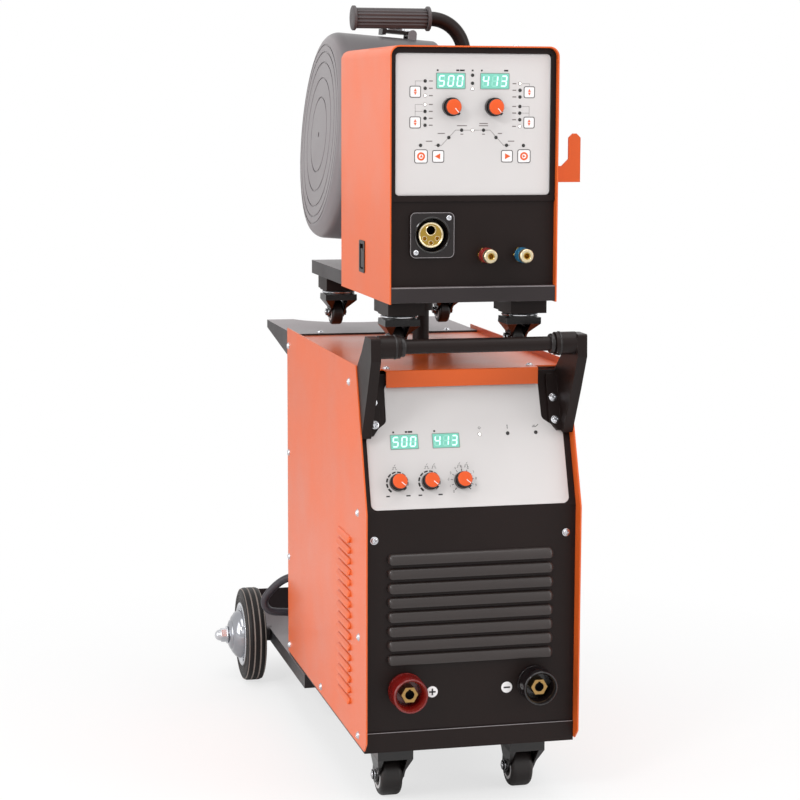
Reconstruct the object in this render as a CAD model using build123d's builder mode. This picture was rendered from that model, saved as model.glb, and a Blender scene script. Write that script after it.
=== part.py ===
from build123d import *
from math import cos, radians, sin
import os

# MIG welder on a cart: a power source on two front casters and two rear wheels,
# with a separate wire feeder that turns on a post on top of it.
# Origin: on the floor, on the centreline, under the middle of the whole depth.
# -Y is the front (control side), +X is the right-hand side seen from behind.

# ---------------------------------------------------------------- driving dimensions (mm)
front_y = -442.0            # front edge plane of the side panels
sheet = 2.0                 # steel sheet thickness
run_gap = 0.05              # radial clearance of a shaft that turns in a hole

case_width = 310.0
case_depth = 590.0
base_bottom = 91.0          # underside of the power source
panel_bottom = 96.0
panel_top = 633.0
bend_height = 434.0         # where the front starts to lean back
top_setback = 70.0          # how far back the front has leaned at panel_top
cover_top = 624.0
front_recess = 21.0         # front panel sits this far behind the panel edges
lip_top = 120.0             # top of the base tray's front lip

wheel_radius = 80.0
wheel_width = 33.0
wheel_track_x = 187.0       # centre plane of each rear wheel
axle_depth = 780.0
axle_radius = 8.0
tray_start = 450.0
tray_end = 905.0
tray_drop = 22.0
tray_wall_top = 130.0

bar_depth = -3.4
bar_height = 665.7
bar_radius = 10.0

feeder_half = 119.0
feeder_front_depth = 16.0
feeder_rear_depth = 334.0
feeder_bottom = 721.5
feeder_top = 1071.0
feeder_face_depth = 28.0
deck_half = 116.9
deck_top = 744.0
deck_bottom = 723.0
deck_rear_depth = 575.0
block_height = 20.0
post_depth = 317.0
post_radius = 12.5

drum_radius = 160.0
drum_tilt = 4.6             # degrees that the drum's face leans back
drum_face_x = -121.0
drum_depth = 497.0
drum_height = 945.5
drum_wall = 3.0
lid_length = 120.0          # the lid is the deep part that pulls off
drum_length = 168.0
spool_radius = 150.0
spool_width = 103.0
spool_start = 26.0          # from the drum's face to the spool's near flange

# ---------------------------------------------------------------- worked-out values
half = case_width / 2
inner_half = half - sheet
inner_fit = inner_half - 0.1
rear_y = front_y + case_depth
os.makedirs("parts", exist_ok=True)


def at(depth):
    """Y of a place so far behind the side panels' front edges."""
    return front_y + depth


def finish(piece, name):
    """Label a finished piece and write its STEP file."""
    piece.part.label = name
    export_step(piece.part, f"parts/{name}.step")


# The leaning front: local x is across, local y is up the slope, local z is outwards.
run = panel_top - bend_height
slope_length = (run**2 + top_setback**2) ** 0.5
lean_sin = top_setback / slope_length
lean_cos = run / slope_length
slope = Plane(
    origin=(0, at(front_recess), bend_height),
    x_dir=(1, 0, 0),
    z_dir=(0, -lean_cos, lean_sin),
)
# Flat front faces: local x is across, local y is height above the floor, z is forwards.
case_face = Plane(origin=(0, at(front_recess), 0), x_dir=(1, 0, 0), z_dir=(0, -1, 0))
feeder_face = Plane(origin=(0, at(feeder_face_depth), 0), x_dir=(1, 0, 0), z_dir=(0, -1, 0))
# The drum: local x is forwards, local y is up, local z points out of the lid's face.
drum_plane = Plane(
    origin=(drum_face_x, at(drum_depth), drum_height),
    x_dir=(0, -1, 0),
    z_dir=(-cos(radians(drum_tilt)), 0, sin(radians(drum_tilt))),
)


def slope_point(distance, out=0.0):
    """(y, z) of a point so far up the slope and so far out of it."""
    y = at(front_recess) + distance * lean_sin - out * lean_cos
    z = bend_height + distance * lean_cos + out * lean_sin
    return y, z


# ================================================================ power source: shell
louvre_wall = 1.5           # sheet thickness of a louvre's hood, measured out of the panel


def louvres(plane, length, height, rise, centres):
    """Pressed scoops, closed along the top and open along the bottom, added to the open part."""
    with BuildPart(mode=Mode.PRIVATE) as scoops:
        with BuildSketch(plane) as hoods:
            with Locations(*centres):
                SlotOverall(length, height)
        extrude(hoods.sketch, amount=rise)
        for x, y in centres:
            with BuildSketch(louvre_side(plane, x - length / 2)) as over_hood:
                Polygon(
                    (y + height / 2 + 1, 0.4),
                    (y - height / 2, rise),
                    (y - height / 2 - 1, rise + 1),
                    (y + height / 2 + 1, rise + 1),
                    align=None,
                )
            extrude(over_hood.sketch, amount=length, mode=Mode.SUBTRACT)
    add(scoops.part)
    mouth = length - 1.3 * height
    wall_end = height / 2 - louvre_wall * height / rise
    for x, y in centres:
        with BuildSketch(louvre_side(plane, x - mouth / 2)) as opening:
            Polygon(
                (y - height / 2 - 1, -sheet - 0.1),
                (y - height / 2 - 1, rise - louvre_wall),
                (y - height / 2, rise - louvre_wall),
                (y + wall_end, 0),
                (y + wall_end, -sheet - 0.1),
                align=None,
            )
        extrude(opening.sketch, amount=mouth, mode=Mode.SUBTRACT)


def louvre_side(plane, x):
    """Plane across a louvre's end: local x is up the panel, local y is out of it."""
    origin = plane.origin + plane.x_dir * x
    return Plane(origin=origin, x_dir=plane.y_dir, z_dir=plane.x_dir)


panel_outline = [
    (front_y, panel_bottom + 14),
    (front_y + 14, panel_bottom),
    (rear_y, panel_bottom),
    (rear_y, panel_top),
    (front_y + top_setback, panel_top),
    (front_y, bend_height),
]
side_vent_rows = 16
side_vent_pitch = 15.7
side_vent_low = 144.0
side_vent_depth = 143.5
for side, name in ((-1, "left_side_panel"), (1, "right_side_panel")):
    vent_plane = Plane(origin=(side * half, 0, 0), x_dir=(0, side, 0), z_dir=(side, 0, 0))
    with BuildPart() as side_panel:
        with BuildSketch(Plane.YZ.offset(side * half)):
            with BuildLine():
                Polyline(*panel_outline, close=True)
            make_face()
        extrude(amount=-side * sheet)
        vent_spots = [
            (side * at(side_vent_depth), side_vent_low + row * side_vent_pitch)
            for row in range(side_vent_rows)
        ]
        louvres(vent_plane, 85, 9.5, 4.2, vent_spots)
    finish(side_panel, name)

with BuildPart() as base_tray:
    with BuildSketch(Plane.XY.offset(base_bottom)):
        with Locations((0, (at(19) + rear_y) / 2)):
            Rectangle(2 * inner_fit, rear_y - at(19))
    extrude(amount=lip_top - base_bottom)
    with BuildSketch(Plane.XY.offset(base_bottom + sheet)):
        with Locations((0, (at(19) + rear_y) / 2)):
            Rectangle(2 * (inner_fit - sheet), rear_y - at(19) - 2 * sheet)
    extrude(amount=lip_top, mode=Mode.SUBTRACT)
finish(base_tray, "base_tray")

socket_x = 94.0
socket_height = 179.0
knob_xs = (-103.0, -57.0, -10.0)
knob_rise = 39.5            # knob centres, measured up the slope
knob_shaft = 3.0
slope_end = 195.0           # where the front sheet stops, up the slope

with BuildPart() as front_panel:
    with BuildSketch(Plane.YZ.offset(-inner_fit)):
        with BuildLine():
            Polyline(
                (at(front_recess), lip_top),
                (at(front_recess), bend_height),
                slope_point(slope_end),
                slope_point(slope_end, -sheet),
                (at(front_recess) + sheet, bend_height - 0.34),
                (at(front_recess) + sheet, lip_top),
                close=True,
            )
        make_face()
    extrude(amount=2 * inner_fit)
    louvre_spots = [(0, 224 + row * 20.4) for row in range(8)]
    louvres(case_face, 241, 14.5, 7.0, louvre_spots)
    with BuildSketch(case_face):
        with Locations((-socket_x, socket_height), (socket_x, socket_height)):
            Circle(9)
    extrude(amount=-sheet, mode=Mode.SUBTRACT)
    with BuildSketch(slope):
        with Locations(*[(x, knob_rise) for x in knob_xs]):
            Circle(knob_shaft + run_gap)
    extrude(amount=-sheet, mode=Mode.SUBTRACT)
finish(front_panel, "front_panel")

fascia_thick = 1.5
fascia_side = [(143, 2), (143, 104), (113, 125), (112, 181)]
with BuildPart() as control_fascia:
    with BuildSketch(slope) as fascia_sketch:
        with BuildLine():
            Polyline(
                *fascia_side,
                *[(-x, y) for x, y in reversed(fascia_side)],
                close=True,
            )
        make_face()
        fillet(fascia_sketch.vertices().group_by(Axis.Z)[0], radius=9)
        with Locations(*[(x, knob_rise) for x in knob_xs]):
            Circle(knob_shaft + run_gap, mode=Mode.SUBTRACT)
    extrude(amount=fascia_thick)
finish(control_fascia, "control_fascia")

lip_depth = 72.0
lip_half = 110.5
shoulder_depth = 91.0
with BuildPart() as top_cover:
    with BuildSketch(Plane.XY.offset(cover_top - sheet)):
        with Locations((0, (at(shoulder_depth) + rear_y - sheet) / 2)):
            Rectangle(2 * inner_fit, rear_y - sheet - at(shoulder_depth))
        with Locations((0, (at(lip_depth) + at(shoulder_depth)) / 2)):
            Rectangle(2 * lip_half, shoulder_depth - lip_depth)
    extrude(amount=sheet)
    with BuildSketch(Plane.XY.offset(cover_top - 24)):
        with Locations((0, at(lip_depth) + sheet / 2)):
            Rectangle(2 * lip_half, sheet)
    extrude(amount=24)
    with BuildSketch(Plane.XY.offset(cover_top - sheet)):
        with Locations((0, at(post_depth))):
            Circle(post_radius + 0.2)
    extrude(amount=sheet, mode=Mode.SUBTRACT)
    fillet(
        top_cover.edges().filter_by(Axis.X).group_by(Axis.Y)[0].sort_by(Axis.Z)[-1],
        radius=1.8,
    )
finish(top_cover, "top_cover")

# The rear panel carries the fan guard, and the fan motor's boss and pin.
fan_height = 330.0
fan_pin = 4.0
rear_face = Plane(origin=(0, rear_y - sheet, 0), x_dir=(1, 0, 0), z_dir=(0, -1, 0))
with BuildPart() as rear_panel:
    with BuildSketch(rear_face):
        with Locations((0, (lip_top + cover_top - sheet) / 2)):
            Rectangle(2 * inner_fit, cover_top - sheet - lip_top)
    extrude(amount=sheet)
    with BuildSketch(rear_face):
        with Locations((0, fan_height)):
            Circle(96)
            for ring_radius in (80, 62, 44):
                Circle(ring_radius, mode=Mode.SUBTRACT)
                Circle(ring_radius - 5)
            Circle(26, mode=Mode.SUBTRACT)
            Rectangle(200, 7, mode=Mode.SUBTRACT)
            Rectangle(7, 200, mode=Mode.SUBTRACT)
    extrude(amount=sheet, mode=Mode.SUBTRACT)
    for row in range(6):
        with BuildSketch(rear_face):
            with Locations((-70, 480 + row * 16), (70, 480 + row * 16)):
                SlotOverall(90, 6)
        extrude(amount=sheet, mode=Mode.SUBTRACT)
    with BuildSketch(rear_face.offset(sheet)):
        with Locations((0, fan_height)):
            Circle(22)
    extrude(amount=24)
    with BuildSketch(rear_face.offset(sheet + 24)):
        with Locations((0, fan_height)):
            Circle(fan_pin)
    extrude(amount=24)
finish(rear_panel, "rear_panel")

with BuildPart() as fan_rotor:
    hub_plane = rear_face.offset(sheet + 26)
    with BuildSketch(hub_plane):
        with Locations((0, fan_height)):
            Circle(30)
            Circle(fan_pin + run_gap, mode=Mode.SUBTRACT)
    extrude(amount=20)
    blade_centre = (0, rear_y - 2 * sheet - 36, fan_height)
    for blade in range(5):
        turn = radians(72 * blade)
        blade_plane = Plane(
            origin=blade_centre, x_dir=(cos(turn), 0, sin(turn)), z_dir=(0, -1, 0)
        )
        with Locations(blade_plane.location * Pos(56, 0, 0) * Rot(32, 0, 0)):
            Box(64, 22, 2.5)
finish(fan_rotor, "fan_rotor")

# Inverter module: a finned heatsink block with a transformer standing on its tray.
with BuildPart() as power_module:
    with BuildSketch(Plane.XY.offset(base_bottom + sheet)):
        with Locations((0, at(300))):
            Rectangle(240, 300)
    extrude(amount=8)
    with BuildSketch(Plane.XY.offset(base_bottom + sheet + 8)):
        with Locations((0, at(180))):
            with GridLocations(16, 0, 14, 1):
                Rectangle(5, 60)
        with Locations((0, at(370))):
            Rectangle(150, 120)
    extrude(amount=130)
    with BuildSketch(Plane.XY.offset(base_bottom + sheet + 138)):
        with Locations((0, at(270))):
            Rectangle(230, 260)
    extrude(amount=4)
finish(power_module, "power_module")

# ================================================================ power source: sockets
ring_outer = 25.0
ring_inner = 17.0
ring_reach = 36.0
ring_base = 9.0
contact_stem = 8.0
contact_bore = 6.55
for side, name in ((-1, "plus_socket"), (1, "minus_socket")):
    with BuildPart() as socket_ring:
        with BuildSketch(case_face):
            with Locations((side * socket_x, socket_height)):
                Circle(ring_outer)
                Circle(contact_stem, mode=Mode.SUBTRACT)
        extrude(amount=ring_base)
        with BuildSketch(case_face.offset(ring_base)):
            with Locations((side * socket_x, socket_height)):
                Circle(ring_outer)
                Circle(ring_inner, mode=Mode.SUBTRACT)
        extrude(amount=ring_reach - ring_base)
        outer_rim = socket_ring.edges().filter_by(GeomType.CIRCLE).group_by(Axis.Y)[0]
        fillet(outer_rim, radius=2.5)
    finish(socket_ring, name)

with BuildPart() as socket_contacts:
    for side in (-1, 1):
        with BuildSketch(case_face.offset(-14)):
            with Locations((side * socket_x, socket_height)):
                Circle(contact_stem)
        extrude(amount=14 + ring_base)
        with BuildSketch(case_face.offset(ring_base)):
            with Locations((side * socket_x, socket_height)):
                RegularPolygon(10.5, 6, major_radius=False)
        extrude(amount=18)
        with BuildSketch(case_face.offset(-8)):
            with Locations((side * socket_x, socket_height)):
                Circle(contact_bore)
            with Locations((side * socket_x, socket_height + contact_bore)):
                Rectangle(3.4, 2.6)
        extrude(amount=8 + ring_base + 18, mode=Mode.SUBTRACT)
finish(socket_contacts, "socket_contacts")

# ================================================================ power source: push handle
arm_outer = inner_fit
arm_inner = 139.0
head_inner = 110.0
head_radius = 16.0
bar_seat = 24.0             # how far the bar's end goes into each bracket
arm_profile = [
    slope_point(107, 2),
    slope_point(196, 2),
    (at(40), panel_top + 22),
    (at(18), 679),
    (at(-19), 679),
    (at(-20), 648),
    (at(4), 600),
    slope_point(100, 14),
]
with BuildPart() as handle_brackets:
    for side in (-1, 1):
        with BuildSketch(Plane.YZ.offset(side * arm_inner)):
            with BuildLine():
                Polyline(*arm_profile, close=True)
            make_face()
        extrude(amount=side * (arm_outer - arm_inner))
    fillet(handle_brackets.edges().filter_by(Axis.X), radius=3)
    for side in (-1, 1):
        with BuildSketch(Plane.YZ.offset(side * head_inner)):
            with Locations((at(bar_depth), bar_height)):
                Circle(head_radius)
        extrude(amount=side * (arm_inner - head_inner + 1))
        with BuildSketch(slope.offset(2)):
            with BuildLine():
                Polyline(
                    (side * 123, 120),
                    (side * 133, 106),
                    (side * 150, 106),
                    (side * 150, 188),
                    (side * 123, 188),
                    close=True,
                )
            make_face()
        extrude(amount=6)
        with BuildSketch(Plane.YZ.offset(side * head_inner)):
            with Locations((at(bar_depth), bar_height)):
                Circle(bar_radius)
        extrude(amount=side * bar_seat, mode=Mode.SUBTRACT)
finish(handle_brackets, "handle_brackets")

with BuildPart() as handle_bar:
    with BuildSketch(Plane.YZ.offset(-head_inner - bar_seat + 1)):
        with Locations((at(bar_depth), bar_height)):
            Circle(bar_radius)
    extrude(amount=2 * (head_inner + bar_seat - 1))
    for side in (-1, 1):
        with BuildSketch(Plane.YZ.offset(side * head_inner)):
            with Locations((at(bar_depth), bar_height)):
                Circle(bar_radius + 3)
        extrude(amount=-side * 6)
finish(handle_bar, "handle_bar")

# ================================================================ fasteners
screw_head = 4.4
screw_rise = 2.6
nut_start_x = 229.0
axle_end_x = 240.0
side_screw_spots = [
    (50, 109), (46, 252), (53, 428), (111, 605), (316, 108),
    (577, 109), (577, 257), (577, 430), (577, 605),
]
with BuildPart() as fasteners:
    for side in (-1, 1):
        with BuildSketch(Plane.YZ.offset(side * half)):
            with Locations(*[(at(depth), height) for depth, height in side_screw_spots]):
                Circle(screw_head)
        extrude(amount=side * screw_rise)
    with BuildSketch(case_face):
        with Locations((-139, 394), (139, 394)):
            Circle(screw_head)
    extrude(amount=screw_rise)
    with BuildSketch(slope.offset(8)):
        with Locations((-131, 121), (-131, 153), (131, 121), (131, 153)):
            Circle(4.6)
    extrude(amount=screw_rise)
    with BuildSketch(Plane.XY.offset(cover_top)):
        with Locations((-105, at(96)), (105, at(96))):
            Circle(screw_head)
    extrude(amount=screw_rise)
    with BuildSketch(Plane.XY.offset(cover_top + 3)):
        with Locations((-106, at(563)), (106, at(563))):
            Circle(screw_head)
    extrude(amount=screw_rise)
    for side in (-1, 1):
        with BuildSketch(Plane.YZ.offset(side * nut_start_x)):
            with Locations((at(axle_depth), wheel_radius)):
                RegularPolygon(12, 6, major_radius=False)
        extrude(amount=side * 11)
        with BuildSketch(Plane.YZ.offset(side * (nut_start_x + 11))):
            with Locations((at(axle_depth), wheel_radius)):
                Circle(11)
        extrude(amount=side * 10, taper=38)
        with BuildSketch(Plane.YZ.offset(side * nut_start_x)):
            with Locations((at(axle_depth), wheel_radius)):
                Circle(axle_radius)
        extrude(amount=side * (axle_end_x - nut_start_x), mode=Mode.SUBTRACT)
finish(fasteners, "fasteners")

# ================================================================ gas bottle support and cart
bottle_radius = 115.0
bracket_end = 790.0
bracket_plate = 3.0
bracket_start = 548.0
with BuildPart() as bottle_bracket:
    with BuildSketch(Plane.XY.offset(cover_top)):
        with Locations((0, (at(bracket_start) + at(bracket_end)) / 2)):
            Rectangle(2 * inner_fit, bracket_end - bracket_start)
        with Locations((0, at(715 + bottle_radius))):
            Circle(bottle_radius, mode=Mode.SUBTRACT)
    extrude(amount=bracket_plate)
    for side in (-1, 1):
        with BuildSketch(Plane.YZ.offset(side * inner_fit)):
            with BuildLine():
                Polyline(
                    (rear_y, cover_top + 1),
                    (at(bracket_end), cover_top + 1),
                    (at(bracket_end), cover_top - 10),
                    (rear_y, cover_top - 38),
                    close=True,
                )
            make_face()
        extrude(amount=-side * bracket_plate)
finish(bottle_bracket, "bottle_bracket")

tray_bottom = base_bottom - tray_drop
with BuildPart() as cart_tray:
    with BuildSketch(Plane.XY.offset(tray_bottom)):
        with Locations((0, (at(tray_start) + at(tray_end)) / 2)):
            Rectangle(case_width, tray_end - tray_start)
    extrude(amount=tray_drop)
    with BuildSketch(Plane.XY.offset(tray_bottom)):
        with Locations((0, (at(tray_start) + at(tray_end)) / 2)):
            Rectangle(case_width - 5, tray_end - tray_start - 5)
    extrude(amount=tray_drop - 2.5, mode=Mode.SUBTRACT)
    with BuildSketch(Plane.XY.offset(base_bottom)):
        with Locations((0, at(tray_end) - 1.25)):
            Rectangle(case_width, 2.5)
    extrude(amount=tray_wall_top - base_bottom)
    for side in (-1, 1):
        with BuildSketch(Plane.YZ.offset(side * (half - 4))):
            with Locations((at(axle_depth), wheel_radius)):
                Circle(14)
        extrude(amount=side * 9)
        with BuildSketch(Plane.YZ.offset(side * (half - 4))):
            with Locations((at(axle_depth), wheel_radius)):
                Circle(axle_radius)
        extrude(amount=side * 9, mode=Mode.SUBTRACT)
finish(cart_tray, "cart_tray")

# ================================================================ rear axle and wheels
hub_inner_x = 161.0
hub_outer_x = 228.0
with BuildPart() as rear_axle:
    with BuildSketch(Plane.YZ.offset(-axle_end_x)):
        with Locations((at(axle_depth), wheel_radius)):
            Circle(axle_radius)
    extrude(amount=2 * axle_end_x)
finish(rear_axle, "rear_axle")

rim_radius = 54.0
for side, word in ((-1, "left"), (1, "right")):
    tyre_in = wheel_track_x - wheel_width / 2
    tyre_out = wheel_track_x + wheel_width / 2
    axle_line = Axis((0, at(axle_depth), wheel_radius), (1, 0, 0))
    wheel_section = Plane(
        origin=(0, at(axle_depth), wheel_radius), x_dir=(side, 0, 0), z_dir=(0, -side, 0)
    )
    with BuildPart() as rim:
        with BuildSketch(wheel_section):
            with BuildLine():
                Polyline(
                    (hub_inner_x, axle_radius + run_gap),
                    (hub_outer_x, axle_radius + run_gap),
                    (hub_outer_x, 13),
                    (hub_outer_x - 8, 26),
                    (hub_outer_x - 13, 34),
                    (tyre_out - 2, 38),
                    (tyre_out - 6, 46),
                    (tyre_out + 1, 50),
                    (tyre_out + 1, rim_radius),
                    (tyre_in, rim_radius),
                    (tyre_in, 50),
                    (tyre_out - 10, 46),
                    (tyre_out - 10, 20),
                    (hub_inner_x, 17),
                    close=True,
                )
            make_face()
        revolve(axis=axle_line)
    finish(rim, f"{word}_rim")

    with BuildPart() as tyre:
        with BuildSketch(wheel_section):
            with Locations((wheel_track_x, (rim_radius + wheel_radius) / 2)):
                RectangleRounded(wheel_width, wheel_radius - rim_radius, 8)
            for groove in (-1, 1):
                with Locations((wheel_track_x + groove * 5, wheel_radius)):
                    Rectangle(2.4, 5, mode=Mode.SUBTRACT)
            with Locations((wheel_track_x, rim_radius + 6)):
                Rectangle(wheel_width - 0.4, 12)
        revolve(axis=axle_line)
    finish(tyre, f"{word}_tyre")


# ================================================================ casters
def caster(name, x, depth, top, radius, width, trail, leg, head):
    """Write the fork and the wheel of one swivel caster, trailing to the rear."""
    axle_z = top - head["height"] + radius
    gap = width / 2 + 1.2
    pin_radius = head["axle"]
    plate_top = top - 2 - head["race"]
    hood_low = plate_top - head["hood"]
    hood_length = 2 * head["radius"] - 6
    with BuildPart() as fork:
        with BuildSketch(Plane.YZ.offset(x - head["radius"])):
            with Locations((at(depth + trail), axle_z)):
                Circle(head["ear"])
            with Locations((at(depth), (plate_top + hood_low) / 2)):
                Rectangle(hood_length, head["hood"])
            make_hull()
        extrude(amount=2 * head["radius"])
        # Seen from the front the fork narrows from its hood down to the wheel.
        with BuildSketch(Plane(origin=(x, at(depth), 0), x_dir=(1, 0, 0), z_dir=(0, -1, 0))):
            with BuildLine():
                Polyline(
                    (-gap - leg, axle_z - head["ear"] - 1),
                    (-gap - leg, axle_z + head["ear"]),
                    (-head["radius"], hood_low),
                    (-head["radius"], plate_top),
                    (head["radius"], plate_top),
                    (head["radius"], hood_low),
                    (gap + leg, axle_z + head["ear"]),
                    (gap + leg, axle_z - head["ear"] - 1),
                    close=True,
                )
            make_face()
        extrude(amount=2 * (trail + radius), both=True, mode=Mode.INTERSECT)
        with BuildSketch(Plane.XY.offset(axle_z - radius)):
            with Locations((x, at(depth))):
                Rectangle(2 * gap, 3 * (trail + radius))
        extrude(amount=hood_low - axle_z + radius, mode=Mode.SUBTRACT)
        with BuildSketch(Plane.XY.offset(plate_top)):
            with Locations((x, at(depth))):
                Circle(head["radius"])
        extrude(amount=head["race"] - 0.3)
        with BuildSketch(Plane.XY.offset(plate_top - 3)):
            with Locations((x, at(depth))):
                Circle(head["pin"] + run_gap)
        extrude(amount=head["race"] + 3, mode=Mode.SUBTRACT)
        with BuildSketch(Plane.YZ.offset(x - gap - leg - 1)):
            with Locations((at(depth + trail), axle_z)):
                Circle(pin_radius)
        extrude(amount=2 * (gap + leg + 1))
        for side in (-1, 1):
            with BuildSketch(Plane.YZ.offset(x + side * (gap + leg))):
                with Locations((at(depth + trail), axle_z)):
                    RegularPolygon(pin_radius + 2.2, 6, major_radius=False)
            extrude(amount=side * 3.4)
    finish(fork, f"{name}_fork")

    with BuildPart() as wheel:
        with BuildSketch(Plane.YZ.offset(x - width / 2)):
            with Locations((at(depth + trail), axle_z)):
                Circle(radius)
        extrude(amount=width)
        fillet(wheel.edges(), radius=width * 0.22)
        with BuildSketch(Plane.YZ.offset(x - width / 2 - 0.8)):
            with Locations((at(depth + trail), axle_z)):
                Circle(radius * 0.3)
        extrude(amount=width + 1.6)
        with BuildSketch(Plane.YZ.offset(x - width)):
            with Locations((at(depth + trail), axle_z)):
                Circle(pin_radius + run_gap)
        extrude(amount=2 * width, mode=Mode.SUBTRACT)
    finish(wheel, f"{name}_wheel")


def caster_plates(spots, top, across, along, pin, pin_length):
    """Top plates with their kingpins, one for each caster."""
    with BuildPart() as plates:
        with BuildSketch(Plane.XY.offset(top - 2)):
            with Locations(*[(x, at(depth)) for x, depth in spots]):
                Rectangle(across, along)
        extrude(amount=2)
        with BuildSketch(Plane.XY.offset(top - 2 - pin_length)):
            with Locations(*[(x, at(depth)) for x, depth in spots]):
                Circle(pin)
        extrude(amount=pin_length)
    return plates


front_caster_x = 98.0
front_caster_depth = 84.0
front_head = {
    "height": 91.0, "radius": 26.0, "race": 9.0, "hood": 15.0, "pin": 5.0, "axle": 4.0, "ear": 12.0,
}
front_spots = [(-front_caster_x, front_caster_depth), (front_caster_x, front_caster_depth)]
finish(caster_plates(front_spots, base_bottom, 62, 56, 5.0, 11.0), "front_caster_plates")
for (x, depth), word in zip(front_spots, ("front_left", "front_right")):
    caster(word, x, depth, base_bottom, 31.0, 32.0, 26.0, 3.0, front_head)

block_bottom = deck_bottom - block_height
feeder_head = {
    "height": 59.0, "radius": 25.0, "race": 6.0, "hood": 9.0, "pin": 4.0, "axle": 3.0, "ear": 8.0,
}
caster_x = 88.0
feeder_spots = [(-caster_x, 90), (caster_x, 90), (-caster_x, 503), (caster_x, 503)]
feeder_words = (
    "feeder_front_left", "feeder_front_right", "feeder_rear_left", "feeder_rear_right",
)
with BuildPart() as feeder_caster_mounts:
    with BuildSketch(Plane.XY.offset(block_bottom)):
        with Locations(*[(x, at(depth)) for x, depth in feeder_spots[:2]]):
            Rectangle(52, 88)
        with Locations(*[(x, at(depth)) for x, depth in feeder_spots[2:]]):
            Rectangle(52, 66)
    extrude(amount=block_height)
    add(caster_plates(feeder_spots, block_bottom, 50, 46, 4.0, 8.0).part.solids())
finish(feeder_caster_mounts, "feeder_caster_mounts")
for (x, depth), word in zip(feeder_spots, feeder_words):
    caster(word, x, depth, block_bottom, 20.0, 18.0, 23.0, 2.5, feeder_head)

# ================================================================ swivel post
with BuildPart() as swivel_post:
    with BuildSketch(Plane.XY.offset(cover_top)):
        with Locations((0, at(post_depth))):
            RectangleRounded(76, 76, 8)
    extrude(amount=5)
    with BuildSketch(Plane.XY.offset(cover_top - 30)):
        with Locations((0, at(post_depth))):
            Circle(post_radius)
    extrude(amount=deck_top - cover_top + 24)
    with BuildSketch(Plane.XY.offset(block_bottom - 18)):
        with Locations((0, at(post_depth))):
            Circle(post_radius + 6)
    extrude(amount=12)
finish(swivel_post, "swivel_post")

# ================================================================ mains cable
cable_radius = 6.5
cable_start = (-118, rear_y + 1, 214)
cable_path = [
    cable_start,
    (-142, at(628), 211),
    (-176, at(650), 182),
    (-184, at(652), 166),
    (-178, at(652), 152),
    (-162, at(652), 147),
    (-105, at(652), 140),
    (-60, at(652), 119),
    (-5, at(652), 103),
    (60, at(655), 98.6),
]
with BuildPart() as mains_cable:
    with BuildLine() as cable_line:
        Spline(*cable_path, tangents=((0, 1, 0), (1, 0, 0)), tangent_scalars=(1, 1))
    with BuildSketch(Plane(origin=cable_start, z_dir=(0, 1, 0))):
        Circle(cable_radius)
    sweep()
finish(mains_cable, "mains_cable")


# ================================================================ control knobs
def knob(plane, x, y, name, skirt, cap):
    """A push-on knob: shaft, wide skirt with a pointer nib, and a raised cap."""
    with BuildPart() as turned:
        with BuildSketch(plane.offset(-8)):
            with Locations((x, y)):
                Circle(knob_shaft)
        extrude(amount=9)
        with BuildSketch(plane.offset(0.4)):
            with Locations((x, y)):
                Circle(skirt)
            with Locations((x + skirt * 0.72, y - skirt * 0.72)):
                Rectangle(3.2, 3.2, rotation=45)
        extrude(amount=8)
        with BuildSketch(plane.offset(8.4)):
            with Locations((x, y)):
                Circle(cap)
        extrude(amount=7.6)
        top_rim = turned.faces().sort_by(Axis.Y)[0].edges()
        chamfer(top_rim, length=0.8)
    finish(turned, name)


for x, word in zip(knob_xs, ("left", "centre", "right")):
    knob(slope.offset(fascia_thick), x, knob_rise, f"{word}_knob", 12.0, 10.4)

feeder_knobs = ((-31.5, "current_knob"), (28.5, "voltage_knob"))
feeder_knob_height = 989.0
for x, name in feeder_knobs:
    knob(feeder_face.offset(fascia_thick), x, feeder_knob_height, name, 12.6, 10.4)

# ================================================================ feeder: deck and casing
boss_radius = 21.0
with BuildPart() as feeder_platform:
    deck_mid = (at(feeder_front_depth + 1) + at(deck_rear_depth)) / 2
    deck_length = deck_rear_depth - feeder_front_depth - 1
    with BuildSketch(Plane.XY.offset(deck_bottom)):
        with Locations((0, deck_mid)):
            Rectangle(2 * deck_half, deck_length)
    extrude(amount=deck_top - deck_bottom)
    with BuildSketch(Plane.XY.offset(deck_bottom)):
        with Locations((0, deck_mid)):
            Rectangle(2 * (deck_half - sheet), deck_length - 2 * sheet)
    extrude(amount=deck_top - deck_bottom - sheet, mode=Mode.SUBTRACT)
    with BuildSketch(Plane.XY.offset(block_bottom - 5.8)):
        with Locations((0, at(post_depth))):
            Circle(boss_radius)
    extrude(amount=deck_top - block_bottom + 5.8)
    with BuildSketch(Plane.XY.offset(block_bottom - 6)):
        with Locations((0, at(post_depth))):
            Circle(post_radius + run_gap)
    extrude(amount=deck_top - block_bottom + 6, mode=Mode.SUBTRACT)
finish(feeder_platform, "feeder_platform")

casing_length = feeder_rear_depth - feeder_front_depth
casing_start = Plane(origin=(0, at(feeder_front_depth), 0), x_dir=(1, 0, 0), z_dir=(0, -1, 0))


def arch(half_width, top, bottom, corner):
    """A closed outline with two rounded top corners, drawn in the open sketch."""
    with BuildLine() as outline:
        Polyline(
            (-half_width, top - corner),
            (-half_width, bottom),
            (half_width, bottom),
            (half_width, top - corner),
        )
        RadiusArc((half_width, top - corner), (half_width - corner, top), -corner)
        Line((half_width - corner, top), (-half_width + corner, top))
        RadiusArc((-half_width + corner, top), (-half_width, top - corner), -corner)
    make_face(outline.edges())


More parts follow.
